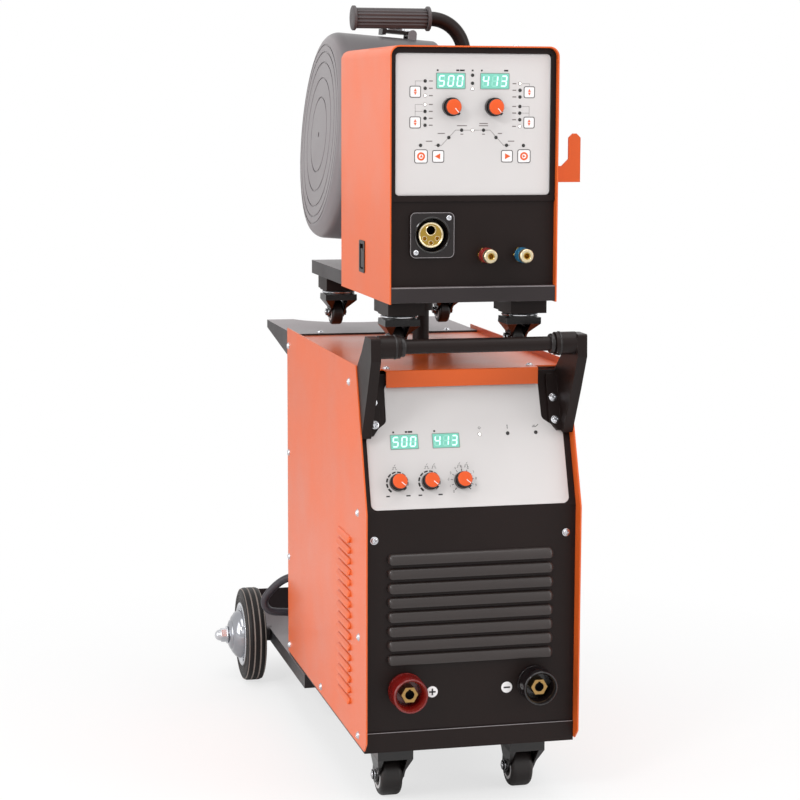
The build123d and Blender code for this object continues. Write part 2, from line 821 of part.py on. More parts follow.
with BuildPart() as feeder_casing:
    with BuildSketch(casing_start):
        arch(feeder_half, feeder_top, feeder_bottom, 14)
    extrude(amount=-casing_length)
    with BuildSketch(casing_start):
        arch(feeder_half - sheet, feeder_top - sheet, feeder_bottom, 12)
    extrude(amount=-casing_length, mode=Mode.SUBTRACT)
    with BuildSketch(Plane.YZ.offset(-feeder_half)):
        with Locations((at(188), 776)):
            RectangleRounded(24, 40, 2)
    extrude(amount=sheet, mode=Mode.SUBTRACT)
finish(feeder_casing, "feeder_casing")

torch_x = -57.5
torch_height = 815.0
torch_collar = 26.0
coupling_xs = (18.0, 69.0)
coupling_height = 787.0
coupling_body = 7.0
face_half = feeder_half - sheet - 0.1
fascia_low = 869.0
fascia_high = 1061.0
fascia_half = 109.6
fascia_middle = (fascia_low + fascia_high) / 2
with BuildPart() as feeder_front:
    with BuildSketch(feeder_face):
        arch(face_half, feeder_top - sheet - 0.1, deck_top, 11.9)
        with Locations((torch_x, torch_height)):
            Circle(torch_collar, mode=Mode.SUBTRACT)
        with Locations(*[(x, coupling_height) for x in coupling_xs]):
            Circle(coupling_body, mode=Mode.SUBTRACT)
        with Locations(*[(x, feeder_knob_height) for x, _ in feeder_knobs]):
            Circle(knob_shaft + run_gap, mode=Mode.SUBTRACT)
    extrude(amount=-sheet)
    with BuildSketch(feeder_face):
        arch(face_half, feeder_top - sheet - 0.1, fascia_low - 8, 11.9)
        with Locations((0, fascia_middle)):
            Rectangle(2 * fascia_half, fascia_high - fascia_low, mode=Mode.SUBTRACT)
    extrude(amount=4)
finish(feeder_front, "feeder_front")

# The back plate closes the casing; the wire passes through its round hole.
back_face = Plane(origin=(0, at(feeder_rear_depth) - 4, 0), x_dir=(1, 0, 0), z_dir=(0, -1, 0))
with BuildPart() as feeder_rear:
    with BuildSketch(back_face):
        arch(face_half, feeder_top - sheet - 0.1, deck_top, 11.9)
        with Locations((torch_x, torch_height)):
            Circle(12, mode=Mode.SUBTRACT)
    extrude(amount=sheet)
finish(feeder_rear, "feeder_rear")

with BuildPart() as feeder_fascia:
    with BuildSketch(feeder_face) as feeder_fascia_sketch:
        with Locations((0, fascia_middle)):
            Rectangle(2 * fascia_half - 0.2, fascia_high - fascia_low - 0.2)
        fillet(feeder_fascia_sketch.vertices().group_by(Axis.Z)[-1], radius=6)
        with Locations(*[(x, feeder_knob_height) for x, _ in feeder_knobs]):
            Circle(knob_shaft + run_gap, mode=Mode.SUBTRACT)
    extrude(amount=fascia_thick)
finish(feeder_fascia, "feeder_fascia")

# ================================================================ feeder: torch socket and couplings
opening_radius = 22.8
insert_radius = 18.0
collar_depth = 32.0
with BuildPart() as torch_socket_flange:
    with BuildSketch(feeder_face):
        with Locations((torch_x, torch_height)):
            RectangleRounded(61.5, 61.5, 7)
            Circle(opening_radius, mode=Mode.SUBTRACT)
    extrude(amount=4.5)
    with BuildSketch(feeder_face):
        with Locations((torch_x, torch_height)):
            Circle(torch_collar)
            Circle(opening_radius, mode=Mode.SUBTRACT)
    extrude(amount=-collar_depth)
    with BuildSketch(feeder_face.offset(-collar_depth)):
        with Locations((torch_x, torch_height)):
            Circle(torch_collar)
            Circle(insert_radius - 4, mode=Mode.SUBTRACT)
    extrude(amount=-4)
finish(torch_socket_flange, "torch_socket_flange")

wire_hole_radius = 6.0
wire_hole_rise = 6.5
with BuildPart() as torch_socket_insert:
    with BuildSketch(feeder_face.offset(-collar_depth)):
        with Locations((torch_x, torch_height)):
            Circle(insert_radius)
    extrude(amount=collar_depth - 4)
    with BuildSketch(feeder_face.offset(-collar_depth - 20)):
        with Locations((torch_x, torch_height)):
            Circle(insert_radius - 4)
    extrude(amount=20)
    with BuildSketch(feeder_face.offset(-4)):
        with Locations((torch_x, torch_height + wire_hole_rise)):
            Circle(wire_hole_radius)
    extrude(amount=-collar_depth - 16, mode=Mode.SUBTRACT)
    with BuildSketch(feeder_face.offset(-4)):
        with Locations((torch_x - 9, torch_height - 5), (torch_x + 9, torch_height - 5)):
            Circle(2.6)
        with Locations((torch_x, torch_height - 11)):
            Circle(2.6)
    extrude(amount=-14, mode=Mode.SUBTRACT)
finish(torch_socket_insert, "torch_socket_insert")

coupling_bore = 3.5
with BuildPart() as coolant_couplings:
    for x in coupling_xs:
        with BuildSketch(feeder_face.offset(-18)):
            with Locations((x, coupling_height)):
                Circle(coupling_body)
        extrude(amount=18)
        with BuildSketch(feeder_face):
            with Locations((x, coupling_height)):
                RegularPolygon(9.5, 6, major_radius=False)
        extrude(amount=5)
        with BuildSketch(feeder_face.offset(5)):
            with Locations((x, coupling_height)):
                Circle(9.2)
        extrude(amount=14)
        with BuildSketch(feeder_face.offset(19)):
            with Locations((x, coupling_height)):
                Circle(7.75)
        extrude(amount=14)
        with BuildSketch(feeder_face.offset(33)):
            with Locations((x, coupling_height)):
                Circle(coupling_bore)
        extrude(amount=-40, mode=Mode.SUBTRACT)
finish(coolant_couplings, "coolant_couplings")

# Wire drive: a mounting plate, a gear head and its motor, behind the torch socket.
with BuildPart() as drive_unit:
    with BuildSketch(Plane.XY.offset(deck_top)):
        with Locations((torch_x, at(150))):
            Rectangle(70, 120)
    extrude(amount=5)
    with BuildSketch(Plane.XY.offset(deck_top + 5)):
        with Locations((torch_x, at(150))):
            Rectangle(60, 90)
    extrude(amount=110)
    with BuildSketch(Plane.YZ.offset(torch_x + 30)):
        with Locations((at(150), 815)):
            Circle(31)
    extrude(amount=115)
finish(drive_unit, "drive_unit")

hook_depth = 120.0
hook_plane = Plane(origin=(0, at(hook_depth), 0), x_dir=(1, 0, 0), z_dir=(0, -1, 0))
with BuildPart() as cable_hook:
    with BuildSketch(hook_plane):
        with BuildLine():
            Polyline(
                (feeder_half + 2, 883),
                (184, 883),
                (184, 946),
                (178, 952),
                (172, 952),
                (166, 946),
                (166, 916),
                (156, 906),
                (feeder_half + 2, 906),
                close=True,
            )
        make_face()
    extrude(amount=3)
    with BuildSketch(Plane.YZ.offset(feeder_half)):
        with Locations((at(hook_depth) + 9, 894.5)):
            Rectangle(24, 23)
    extrude(amount=3)
finish(cable_hook, "cable_hook")

# ================================================================ feeder: lifting handle
tube_x = 80.0
tube_depth = 375.0
tube_radius = 11.0
bend_radius = 52.0
grip_height = 1121.0
tube_end = -88.0
tube_plane = Plane(origin=(0, at(tube_depth), 0), x_dir=(1, 0, 0), z_dir=(0, -1, 0))
with BuildPart() as lift_handle:
    with BuildLine(tube_plane):
        Line((tube_x, deck_top), (tube_x, grip_height - bend_radius))
        RadiusArc(
            (tube_x, grip_height - bend_radius), (tube_x - bend_radius, grip_height), -bend_radius
        )
        Line((tube_x - bend_radius, grip_height), (tube_end, grip_height))
    with BuildSketch(Plane.XY.offset(deck_top)):
        with Locations((tube_x, at(tube_depth))):
            Circle(tube_radius)
    sweep()
    with BuildSketch(Plane.XY.offset(deck_top)):
        with Locations((tube_x - 6, at(tube_depth))):
            Rectangle(52, 40)
    extrude(amount=4)
finish(lift_handle, "lift_handle")

grip_radius = 14.5
grip_flange = 18.5
grip_start = -94.0
grip_end = 26.0
with BuildPart() as handle_grip:
    with BuildSketch(Plane.YZ.offset(grip_start)):
        with Locations((at(tube_depth), grip_height)):
            Circle(grip_radius)
    extrude(amount=grip_end - grip_start)
    for flange_x in (grip_start, grip_end - 5):
        with BuildSketch(Plane.YZ.offset(flange_x)):
            with Locations((at(tube_depth), grip_height)):
                Circle(grip_flange)
        extrude(amount=5)
    with BuildSketch(Plane.YZ.offset(tube_end)):
        with Locations((at(tube_depth), grip_height)):
            Circle(tube_radius)
    extrude(amount=grip_end - tube_end, mode=Mode.SUBTRACT)
finish(handle_grip, "handle_grip")

# ================================================================ feeder: wire spool and its drum
inner_radius = drum_radius - drum_wall
edge_radius = 20.0
hub_radius = 25.9
ring_radii = (58, 88, 112, 128, 139)
ring_width = 2.4
ring_deep = 1.2
drum_axis = Axis(drum_plane.origin, drum_plane.z_dir)
# Half section of the drum: local x is the radius, local y points out of the lid's face.
drum_section = Plane(
    origin=drum_plane.origin,
    x_dir=drum_plane.x_dir,
    z_dir=drum_plane.x_dir.cross(drum_plane.z_dir),
)
with BuildPart() as spool_lid:
    with BuildSketch(drum_section):
        with BuildLine():
            Polyline(
                (drum_radius, -edge_radius),
                (drum_radius, -lid_length),
                (inner_radius, -lid_length),
                (inner_radius, -edge_radius),
            )
            RadiusArc(
                (inner_radius, -edge_radius),
                (drum_radius - edge_radius, -drum_wall),
                -(edge_radius - drum_wall),
            )
            Polyline(
                (drum_radius - edge_radius, -drum_wall),
                (4, -drum_wall),
                (4, 0),
                (drum_radius - edge_radius, 0),
            )
            RadiusArc(
                (drum_radius - edge_radius, 0), (drum_radius, -edge_radius), edge_radius
            )
        make_face()
        for ring in ring_radii:
            with Locations((ring, 0)):
                Rectangle(ring_width, 2 * ring_deep, mode=Mode.SUBTRACT)
    revolve(axis=drum_axis)
finish(spool_lid, "spool_lid")

latch_rise = drum_radius + 7.0       # height of the latch's pin above the drum's axis
latch_back = 14.0                    # the pin sits this far behind the lid's edge
latch_pin = 3.0
latch_plane = Plane(
    origin=drum_plane.origin
    + drum_plane.y_dir * latch_rise
    - drum_plane.z_dir * (lid_length + latch_back),
    x_dir=drum_plane.z_dir,
    z_dir=drum_plane.x_dir * -1,
)
with BuildPart() as spool_drum:
    with BuildSketch(drum_plane.offset(-lid_length)):
        Circle(drum_radius)
    extrude(amount=-(drum_length - lid_length))
    with BuildSketch(drum_plane.offset(-lid_length)):
        Circle(inner_radius)
    extrude(amount=-(drum_length - lid_length - drum_wall), mode=Mode.SUBTRACT)
    with BuildSketch(drum_plane.offset(drum_wall - drum_length)):
        Circle(34)
    extrude(amount=drum_length - drum_wall - spool_start - spool_width - 1)
    with BuildSketch(drum_plane.offset(drum_wall - drum_length)):
        Circle(hub_radius)
    extrude(amount=drum_length - drum_wall - spool_start + 12)
    for side in (-1, 1):
        with BuildSketch(latch_plane.offset(side * 16 - 2)):
            Circle(6.5)
            with Locations((0, -6)):
                Rectangle(13, 8)
        extrude(amount=4)
    with BuildSketch(latch_plane.offset(-16)):
        Circle(latch_pin)
    extrude(amount=32)
finish(spool_drum, "spool_drum")

with BuildPart() as cover_latch:
    with BuildSketch(latch_plane.offset(-13.5)):
        Circle(6)
        with Locations((24, 1.5)):
            Rectangle(46, 5)
        with Locations((45, 0.5)):
            Rectangle(6, 9)
        Circle(latch_pin + run_gap, mode=Mode.SUBTRACT)
    extrude(amount=27)
finish(cover_latch, "cover_latch")

with BuildPart() as wire_spool:
    flange = 4.0
    with BuildSketch(drum_plane.offset(-spool_start)):
        Circle(spool_radius)
    extrude(amount=-flange)
    with BuildSketch(drum_plane.offset(-spool_start - spool_width + flange)):
        Circle(spool_radius)
    extrude(amount=-flange)
    with BuildSketch(drum_plane.offset(-spool_start)):
        Circle(spool_radius - 18)
    extrude(amount=-spool_width)
    with BuildSketch(drum_plane.offset(-spool_start)):
        Circle(hub_radius + run_gap)
    extrude(amount=-spool_width, mode=Mode.SUBTRACT)
finish(wire_spool, "wire_spool")

# The stand leans with the drum's back wall and is folded flat onto the deck.
lean = drum_plane.z_dir.Z / -drum_plane.z_dir.X
stand_x = drum_face_x - drum_length * drum_plane.z_dir.X + 0.2
stand_rise = drum_height - drum_length * drum_plane.z_dir.Z
stand_top = stand_rise + 60
stand_sheet = 4.0
stand_face = Plane(origin=(0, at(drum_depth) + 45, 0), x_dir=(1, 0, 0), z_dir=(0, -1, 0))
with BuildPart() as spool_stand:
    with BuildSketch(stand_face):
        with BuildLine():
            Polyline(
                (stand_x + (deck_top - stand_rise) * lean, deck_top),
                (stand_x + 60 * lean, stand_top),
                (stand_x + 60 * lean + stand_sheet, stand_top),
                (
                    stand_x + (deck_top - stand_rise) * lean + stand_sheet,
                    deck_top + stand_sheet,
                ),
                (stand_x + 40, deck_top + stand_sheet),
                (stand_x + 40, deck_top),
                close=True,
            )
        make_face()
    extrude(amount=90)
finish(spool_stand, "spool_stand")
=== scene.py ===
from math import atan2, cos, hypot, pi, radians, sin, sqrt

import bmesh
import bpy
from mathutils import Matrix, Vector


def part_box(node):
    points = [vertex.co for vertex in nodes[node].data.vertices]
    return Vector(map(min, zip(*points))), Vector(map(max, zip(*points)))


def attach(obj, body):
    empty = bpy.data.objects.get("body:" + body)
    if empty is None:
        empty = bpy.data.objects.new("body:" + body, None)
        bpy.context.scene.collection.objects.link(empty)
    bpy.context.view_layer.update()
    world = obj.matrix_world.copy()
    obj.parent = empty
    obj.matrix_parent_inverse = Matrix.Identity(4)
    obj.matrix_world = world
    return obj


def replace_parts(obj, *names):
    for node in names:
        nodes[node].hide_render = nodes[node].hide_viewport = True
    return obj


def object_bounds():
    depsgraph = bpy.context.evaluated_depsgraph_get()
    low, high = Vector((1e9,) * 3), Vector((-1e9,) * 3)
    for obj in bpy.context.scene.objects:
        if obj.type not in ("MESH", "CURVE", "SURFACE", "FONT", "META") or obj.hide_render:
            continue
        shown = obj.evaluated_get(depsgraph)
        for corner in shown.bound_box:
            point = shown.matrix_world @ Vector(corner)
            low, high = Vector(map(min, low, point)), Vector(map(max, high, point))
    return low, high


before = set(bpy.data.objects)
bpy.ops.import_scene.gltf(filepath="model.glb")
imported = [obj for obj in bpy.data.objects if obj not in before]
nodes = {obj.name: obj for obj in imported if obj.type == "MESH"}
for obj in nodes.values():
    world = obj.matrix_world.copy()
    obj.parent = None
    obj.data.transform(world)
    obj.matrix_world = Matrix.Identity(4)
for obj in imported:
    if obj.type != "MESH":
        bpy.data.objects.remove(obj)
cad_low, cad_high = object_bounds()
MM = 0.001


# ==== shaders
def rgb(code):
    """Linear colour of an sRGB hex code."""
    parts = [int(code[i:i + 2], 16) / 255 for i in (0, 2, 4)]
    return tuple(p / 12.92 if p < 0.04045 else ((p + 0.055) / 1.055) ** 2.4 for p in parts)


def shade(colour, factor):
    """The same colour made darker or lighter, as an RGBA value."""
    return tuple(min(1, c * factor) for c in colour) + (1,)


class Nodes:
    """A node tree being put together."""

    def __init__(self, owner):
        owner.use_nodes = True
        self.tree = owner.node_tree

    def node(self, kind, inputs=(), **settings):
        made = self.tree.nodes.new(kind)
        for key, value in settings.items():
            setattr(made, key, value)
        self.fill(made, dict(inputs))
        return made

    def fill(self, node, values):
        for key, value in values.items():
            self.feed(node.inputs[key], value)

    def feed(self, socket, value):
        if isinstance(value, bpy.types.NodeSocket):
            self.tree.links.new(value, socket)
        else:
            socket.default_value = value

    def math(self, operation, a, b):
        return self.node("ShaderNodeMath", {0: a, 1: b}, operation=operation).outputs[0]

    def remap(self, value, low, high, start=0, end=1):
        limits = {"Value": value, "From Min": low, "From Max": high, "To Min": start, "To Max": end}
        return self.node("ShaderNodeMapRange", limits).outputs[0]

    def mix(self, share, first, second):
        made = self.node("ShaderNodeMix", data_type="RGBA")
        self.feed(made.inputs[0], share)
        self.feed(made.inputs[6], first)
        self.feed(made.inputs[7], second)
        return made.outputs[2]


class Shader(Nodes):
    """A procedural surface."""

    def __init__(self, name):
        self.material = bpy.data.materials.new(name)
        super().__init__(self.material)
        self.surface = self.tree.nodes["Principled BSDF"]
        self.place = self.node("ShaderNodeTexCoord").outputs["Object"]

    def noise(self, scale, detail=3, stretch=(1, 1, 1)):
        spread = self.node(
            "ShaderNodeVectorMath", {0: self.place, 1: stretch}, operation="MULTIPLY"
        ).outputs[0]
        made = self.node("ShaderNodeTexNoise", {"Vector": spread, "Scale": scale, "Detail": detail})
        return made.outputs[0]

    def edges(self, radius):
        """(normal with softened edges, how close a point is to an edge)."""
        soft = self.node("ShaderNodeBevel", {"Radius": radius * MM}, samples=4).outputs[0]
        true = self.node("ShaderNodeNewGeometry").outputs["Normal"]
        dot = self.node("ShaderNodeVectorMath", {0: soft, 1: true}, operation="DOT_PRODUCT")
        return soft, self.math("SUBTRACT", 1, dot.outputs["Value"])


def surface(slot, name, code, rough=0.4, metal=0, specular=0.5, drift=0.08, drift_scale=7,
            grain=900, depth=0.02, stretch=(1, 1, 1), soften=0.8, wear=0, wear_code="c8c4c0",
            coat=0, dirt=0, painted_top_lighting_code=None):
    """(material, slot of the record) of a worn, grained finish: colour drift, fine bump,
    softened and rubbed edges.

    depth and soften are in mm; wear and dirt run from 0 to 1; the top colour is the
    colour that faces looking up fade to: painted light from above, a painted highlight where it is
    lighter than the base colour and painted shade where it is darker."""
    colour = rgb(code)
    s = Shader(name)
    broad = s.noise(drift_scale, 4)
    fine = s.noise(grain, 2, stretch)
    tone = s.mix(s.remap(broad, 0.3, 0.7), shade(colour, 1 - drift), shade(colour, 1 + drift))
    tone = s.mix(s.remap(fine, 0.35, 0.75, 0, 0.35), tone, shade(colour, 1 - 1.6 * drift))
    roughness = s.remap(broad, 0.3, 0.7, rough * 0.85, min(1, rough * 1.18))
    roughness = s.math("ADD", roughness, s.remap(fine, 0.3, 0.7, -0.04, 0.04))
    soft, edge = s.edges(soften)
    # faces looking up fade to the top colour: painted lighting, lighter for a painted highlight and
    # darker for painted shade
    if painted_top_lighting_code:
        facing = s.node(
            "ShaderNodeSeparateXYZ", {0: s.node("ShaderNodeNewGeometry").outputs["Normal"]}
        )
        top_lighting_share = s.remap(facing.outputs[2], 0.6, 0.95)
        tone = s.mix(top_lighting_share, tone, s.mix(s.remap(broad, 0.3, 0.7), shade(rgb(painted_top_lighting_code), 0.9),
                                         shade(rgb(painted_top_lighting_code), 1.1)))
    if dirt:
        corner = s.remap(edge, 0.004, 0.1)
        dust = s.math("MULTIPLY", corner, s.remap(s.noise(60, 5), 0.4, 0.6, 0, dirt))
        tone = s.mix(dust, tone, shade(rgb("8c8278"), 1))
    if wear:
        rubbed = s.math(
            "MULTIPLY", s.remap(edge, 0.02, 0.12), s.remap(s.noise(140, 5), 0.42, 0.62, 0, wear)
        )
        tone = s.mix(rubbed, tone, shade(rgb(wear_code), 1))
        roughness = s.math("SUBTRACT", roughness, s.math("MULTIPLY", rubbed, 0.12))
    bump = s.node("ShaderNodeBump", {"Strength": 1, "Distance": depth * MM, "Height": fine,
                                     "Normal": soft}).outputs[0]
    s.fill(s.surface, {
        "Base Color": tone, "Roughness": roughness, "Normal": bump, "Metallic": metal,
        "Specular IOR Level": specular, "Coat Weight": coat, "Coat Roughness": 0.12
    })
    return s.material, slot


def glowing(name, code, strength, rough=0.25, slot="grey_plastic"):
    """A lit lens or display segment, a little brighter at its middle than at its sides."""
    s = Shader(name)
    facing = s.node("ShaderNodeLayerWeight", {"Blend": 0.35}).outputs["Facing"]
    colour = rgb(code)
    speckle = s.remap(s.noise(1500, 2), 0.3, 0.7, 0, 0.4)
    tone = s.mix(speckle, shade(colour, 1), shade(colour, 0.82))
    dimming = s.remap(facing, 0, 1, strength, strength * 0.6)
    s.fill(s.surface, {"Base Color": tone, "Emission Color": tone, "Emission Strength": dimming,
                       "Roughness": rough})
    return s.material, slot


# each look: (material, material slot of the record)
ink = {"grain": 3000, "depth": 0.004, "specular": 0.3, "soften": 0.05}
LOOK = {
    "orange": surface(
        "orange_paint", "orange_powder_coat", "df5f20", rough=0.36, drift=0.05, depth=0.012,
        wear=0.12, wear_code="f08a5c", specular=0.4, coat=0.12
    ),
    "black": surface(
        "black_paint", "black_powder_coat", "1a100e", rough=0.42, drift=0.16, depth=0.03,
        specular=0.2, wear=0.35, wear_code="5a4e4a", grain=1500
    ),
    # its faces looking up are painted lighter: painted reflection of the light above them
    "dark": surface(
        "dark_paint", "dark_grey_powder_coat", "241c1d", rough=0.38, drift=0.12, depth=0.03,
        specular=0.4, wear=0.5, wear_code="a49c9e", dirt=0.2, painted_top_lighting_code="887f81"
    ),
    "silver": surface(
        "fascia_paint", "silver_fascia_film", "d3cfce", rough=0.38, drift=0.025, grain=2600,
        depth=0.006, specular=0.45, metal=0.08, soften=0.5
    ),
    # the front louvre hoods get a lighter copy of the black paint: painted highlight where the
    # light catches their slopes
    "hood": surface(
        "black_paint", "louvre_black_painted_highlight", "2b2321", rough=0.34, drift=0.14, wear=0.3,
        wear_code="5a4e4a", grain=1500
    ),
    "plastic": surface(
        "black_plastic", "black_plastic", "1c1616", rough=0.33, drift=0.15, grain=1900, depth=0.012,
        specular=0.4, wear=0.3, wear_code="4e4848"
    ),
    "gloss": surface(
        "black_plastic", "glossy_black_plastic", "161112", rough=0.16, drift=0.15, grain=700,
        depth=0.01, soften=1
    ),
    "red": surface(
        "red_plastic", "red_socket_plastic", "74120f", rough=0.25, drift=0.18, grain=500,
        depth=0.03, specular=0.6, soften=1.2, wear=0.25, wear_code="b04438"
    ),
    "blue": surface(
        "brass", "blue_collar", "1f6f96", rough=0.25, drift=0.14, depth=0.01, metal=0.35, wear=0.35,
        wear_code="8ac0d4"
    ),
    "crimson": surface(
        "brass", "red_collar", "9c2420", rough=0.25, drift=0.14, depth=0.01, metal=0.35, wear=0.35,
        wear_code="e08a72"
    ),
    "brass": surface(
        "brass", "turned_brass", "cda84e", rough=0.2, metal=1, drift=0.12, grain=1400,
        stretch=(0.1, 1, 0.1), depth=0.01, wear=0.3, wear_code="f0dc9c", soften=0.5
    ),
    "contact": surface(
        "brass", "tarnished_brass", "a88652", rough=0.3, metal=0.9, drift=0.14, grain=1400,
        depth=0.01, wear=0.35, wear_code="e6cf9c", soften=0.6
    ),
    "copper": surface(
        "spool_plastic", "copper_wire", "c07848", rough=0.24, metal=1, drift=0.1, depth=0.006
    ),
    "zinc": surface(
        "zinc", "bright_zinc", "cfd0d4", rough=0.2, metal=1, drift=0.12, drift_scale=60, grain=700,
        depth=0.01, wear=0.2, wear_code="f4f4f6", soften=0.5
    ),
    "chrome": surface(
        "zinc", "pressed_chrome", "a0a1a6", rough=0.13, metal=1, drift=0.1, drift_scale=40,
        grain=600, depth=0.008, wear=0.15, wear_code="f0f0f4", soften=0.6
    ),
    # the pale pinkish grey rubbed edges are partly wear and partly a painted highlight on the rib
    # edges
    "tyre": surface(
        "tyre_rubber", "tyre_rubber", "120d0c", rough=0.5, drift=0.2, grain=1100, depth=0.06,
        specular=0.3, wear=0.7, wear_code="7a6c66", soften=1.2, dirt=0.12
    ),
    "caster": surface(
        "caster_rubber", "caster_tread", "1d1716", drift=0.25, grain=1300, depth=0.05, specular=0.4,
        wear=0.3, wear_code="6a5e58"
    ),
    "fork": surface(
        "fork_paint", "fork_gloss_black", "120e0e", rough=0.2, drift=0.2, depth=0.015, wear=0.45,
        wear_code="8c8688"
    ),
    "rubber": surface(
        "soft_rubber", "grip_rubber", "4c4748", rough=0.45, drift=0.12, grain=1200, depth=0.03,
        specular=0.35, wear=0.25, wear_code="8a8486"
    ),
    "cable": surface(
        "soft_rubber", "cable_rubber", "343036", rough=0.38, drift=0.14, grain=800, depth=0.03,
        specular=0.4
    ),
    # its faces looking up are painted darker: painted shade on the upper band of the drum and lid
    "cover": surface(
        "grey_plastic", "grey_cover_plastic", "7a7375", rough=0.36, drift=0.07, drift_scale=4,
        grain=1600, depth=0.012, wear=0.3, wear_code="c8c2c4", painted_top_lighting_code="474244"
    ),
    "spool": surface("spool_plastic", "spool_plastic", "24211f", rough=0.38, drift=0.1),
    "pale": surface("caster_rubber", "pale_rim_plastic", "c9c6c6", rough=0.35, drift=0.06),
    "knob_orange": surface(
        "orange_paint", "orange_knob_cap", "e2571f", rough=0.36, drift=0.05, grain=1500, depth=0.01,
        specular=0.4, soften=0.5
    ),
    "print": surface("fascia_paint", "dark_print", "2a2626", rough=0.5, drift=0.15, **ink),
    "grey_print": surface("fascia_paint", "grey_print", "7c7573", rough=0.5, drift=0.12, **ink),
    "orange_print": surface("fascia_paint", "orange_print", "e2602c", rough=0.45, **ink),
    "key_white": surface(
        "fascia_paint", "white_key_film", "f0eded", drift=0.03, grain=2400, depth=0.004,
        specular=0.4, soften=0.3
    ),
    "lens_off": surface(
        "black_plastic", "dark_lens", "2c2a29", rough=0.2, drift=0.2, depth=0.004, soften=0.3
    ),
    "lens_on": glowing("lit_lens", "fffdf6", 1.6),
    "window": glowing("display_window", "6fb4a2", 0.45),
    "window_dim": glowing("unlit_segments", "86c4b4", 0.42),
    "segment": glowing("lit_segments", "c4fbee", 1.05),
    "pale_brass": surface(
        "brass", "pale_brass", "efdfba", rough=0.22, metal=0.9, grain=1400, depth=0.008, soften=0.5,
        wear=0.2, wear_code="fff6dc"
    ),
    # a grey line laid along bright edges: painted highlight
    "edge_highlight": surface(
        "black_plastic", "painted_edge_highlight", "8e888a", rough=0.25, depth=0.004, specular=0.6
    ),
    # pale grey lines on the tread ribs: painted highlights
    "tread_highlight": surface(
        "tyre_rubber", "painted_tread_highlight", "9c9089", rough=0.6, drift=0.2, depth=0.04, specular=0.3,
        soften=0.3
    ),
    "cavity": surface(
        "black_plastic", "deep_shadow_black", "0c0a0a", rough=0.7, drift=0.3, specular=0.1
    )
}

CAD_LOOKS = {
    "orange": "left_side_panel right_side_panel top_cover feeder_casing cable_hook",
    "black": "base_tray front_panel rear_panel feeder_front feeder_rear handle_brackets "
             "handle_bar swivel_post lift_handle feeder_caster_mounts spool_stand",
    "dark": "bottle_bracket cart_tray feeder_platform power_module drive_unit",
    "silver": "control_fascia feeder_fascia",
    "plastic": "fan_rotor torch_socket_flange left_knob centre_knob right_knob current_knob "
               "voltage_knob cover_latch",
    "gloss": "minus_socket",
    "red": "plus_socket",
    "contact": "socket_contacts",
    "brass": "torch_socket_insert coolant_couplings",
    "zinc": "fasteners rear_axle front_caster_plates left_rim right_rim",
    "tyre": "left_tyre right_tyre",
    "rubber": "handle_grip",
    "cable": "mains_cable",
    "cover": "spool_drum spool_lid",
    "spool": "wire_spool",
}
for look, members in CAD_LOOKS.items():
    for node_name in members.split():
        nodes[node_name].data.materials.clear()
        nodes[node_name].data.materials.append(LOOK[look][0])
for node_name, node in nodes.items():
    if node_name.endswith(("_fork", "_wheel")):
        node.data.materials.clear()
        node.data.materials.append(LOOK["fork" if node_name.endswith("_fork") else "caster"][0])


# ==== mesh tools
class Face:
    """A flat working face; across, up and out are in millimetres from its origin."""

    def __init__(self, origin, across, up):
        self.origin = Vector(origin)
        self.across = Vector(across).normalized()
        self.up = Vector(up).normalized()
        self.out = self.across.cross(self.up)

    def at(self, x, y, z=0):
        return self.origin + (self.across * x + self.up * y + self.out * z) * MM

    def shifted(self, x, y, z=0):
        return Face(self.at(x, y, z), self.across, self.up)

    def find(self, point):
        """(across, up, out) of a point, in millimetres."""
        offset = (Vector(point) - self.origin) / MM
        return offset.dot(self.across), offset.dot(self.up), offset.dot(self.out)


def front_face(point):
    return Face(point, (1, 0, 0), (0, 0, 1))


def side_face(point, sign):
    return Face(point, (0, sign, 0), (0, 0, 1))


def top_face(point):
    return Face(point, (1, 0, 0), (0, 1, 0))


def middle(node_name):
    low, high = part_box(node_name)
    return (low + high) / 2


def extent(points):
    """Lowest and highest corner of some points."""
    return Vector(map(min, *points)), Vector(map(max, *points))


def add(name, data):
    """A new object in the scene."""
    made = bpy.data.objects.new(name, data)
    bpy.context.scene.collection.objects.link(made)
    return made


def place(name, bm, body, look, bevel=0, sharp=38):
    """Turn a finished bmesh into a piece that rides on a CAD body. bevel is in mm."""
    bmesh.ops.recalc_face_normals(bm, faces=bm.faces)
    for face in bm.faces:
        face.smooth = True
    for edge in bm.edges:
        edge.smooth = edge.is_manifold and edge.calc_face_angle(0) < radians(sharp)
    mesh = bpy.data.meshes.new(name)
    bm.to_mesh(mesh)
    bm.free()
    made = add(name, mesh)
    material, slot = LOOK[look]
    mesh.materials.append(material)
    if bevel:
        rounding = made.modifiers.new("rounding", "BEVEL")
        rounding.width = bevel * MM
        rounding.segments = 2
        rounding.limit_method = "ANGLE"
        rounding.angle_limit = radians(sharp)
        rounding.harden_normals = True
    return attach(made, body)


def prism(bm, face, outline, low=0, high=0.1):
    """A flat shape from one height to another above the face, as thick as ink by default."""
    bottom = [bm.verts.new(face.at(x, y, low)) for x, y in outline]
    top = [bm.verts.new(face.at(x, y, high)) for x, y in outline]
    bm.faces.new(bottom[::-1])
    bm.faces.new(top)
    bridge(bm, bottom, top)


def bridge(bm, first, second):
    """Faces between two rings; a ring of one vertex is a tip."""
    count = max(len(first), len(second))
    for i in range(count):
        j = (i + 1) % count
        corners = [first[i % len(first)], first[j % len(first)]]
        corners += [second[j % len(second)], second[i % len(second)]]
        unique = [v for k, v in enumerate(corners) if v not in corners[:k]]
        bm.faces.new(unique)


def band(bm, face, outer, inner, low=0, high=0.1):
    """A flat ring between two outlines of the same number of points."""
    rings = [
        [bm.verts.new(face.at(x, y, z)) for x, y in outline]
        for outline, z in ((outer, low), (outer, high), (inner, high), (inner, low))
    ]
    for i in range(4):
        bridge(bm, rings[i], rings[(i + 1) % 4])


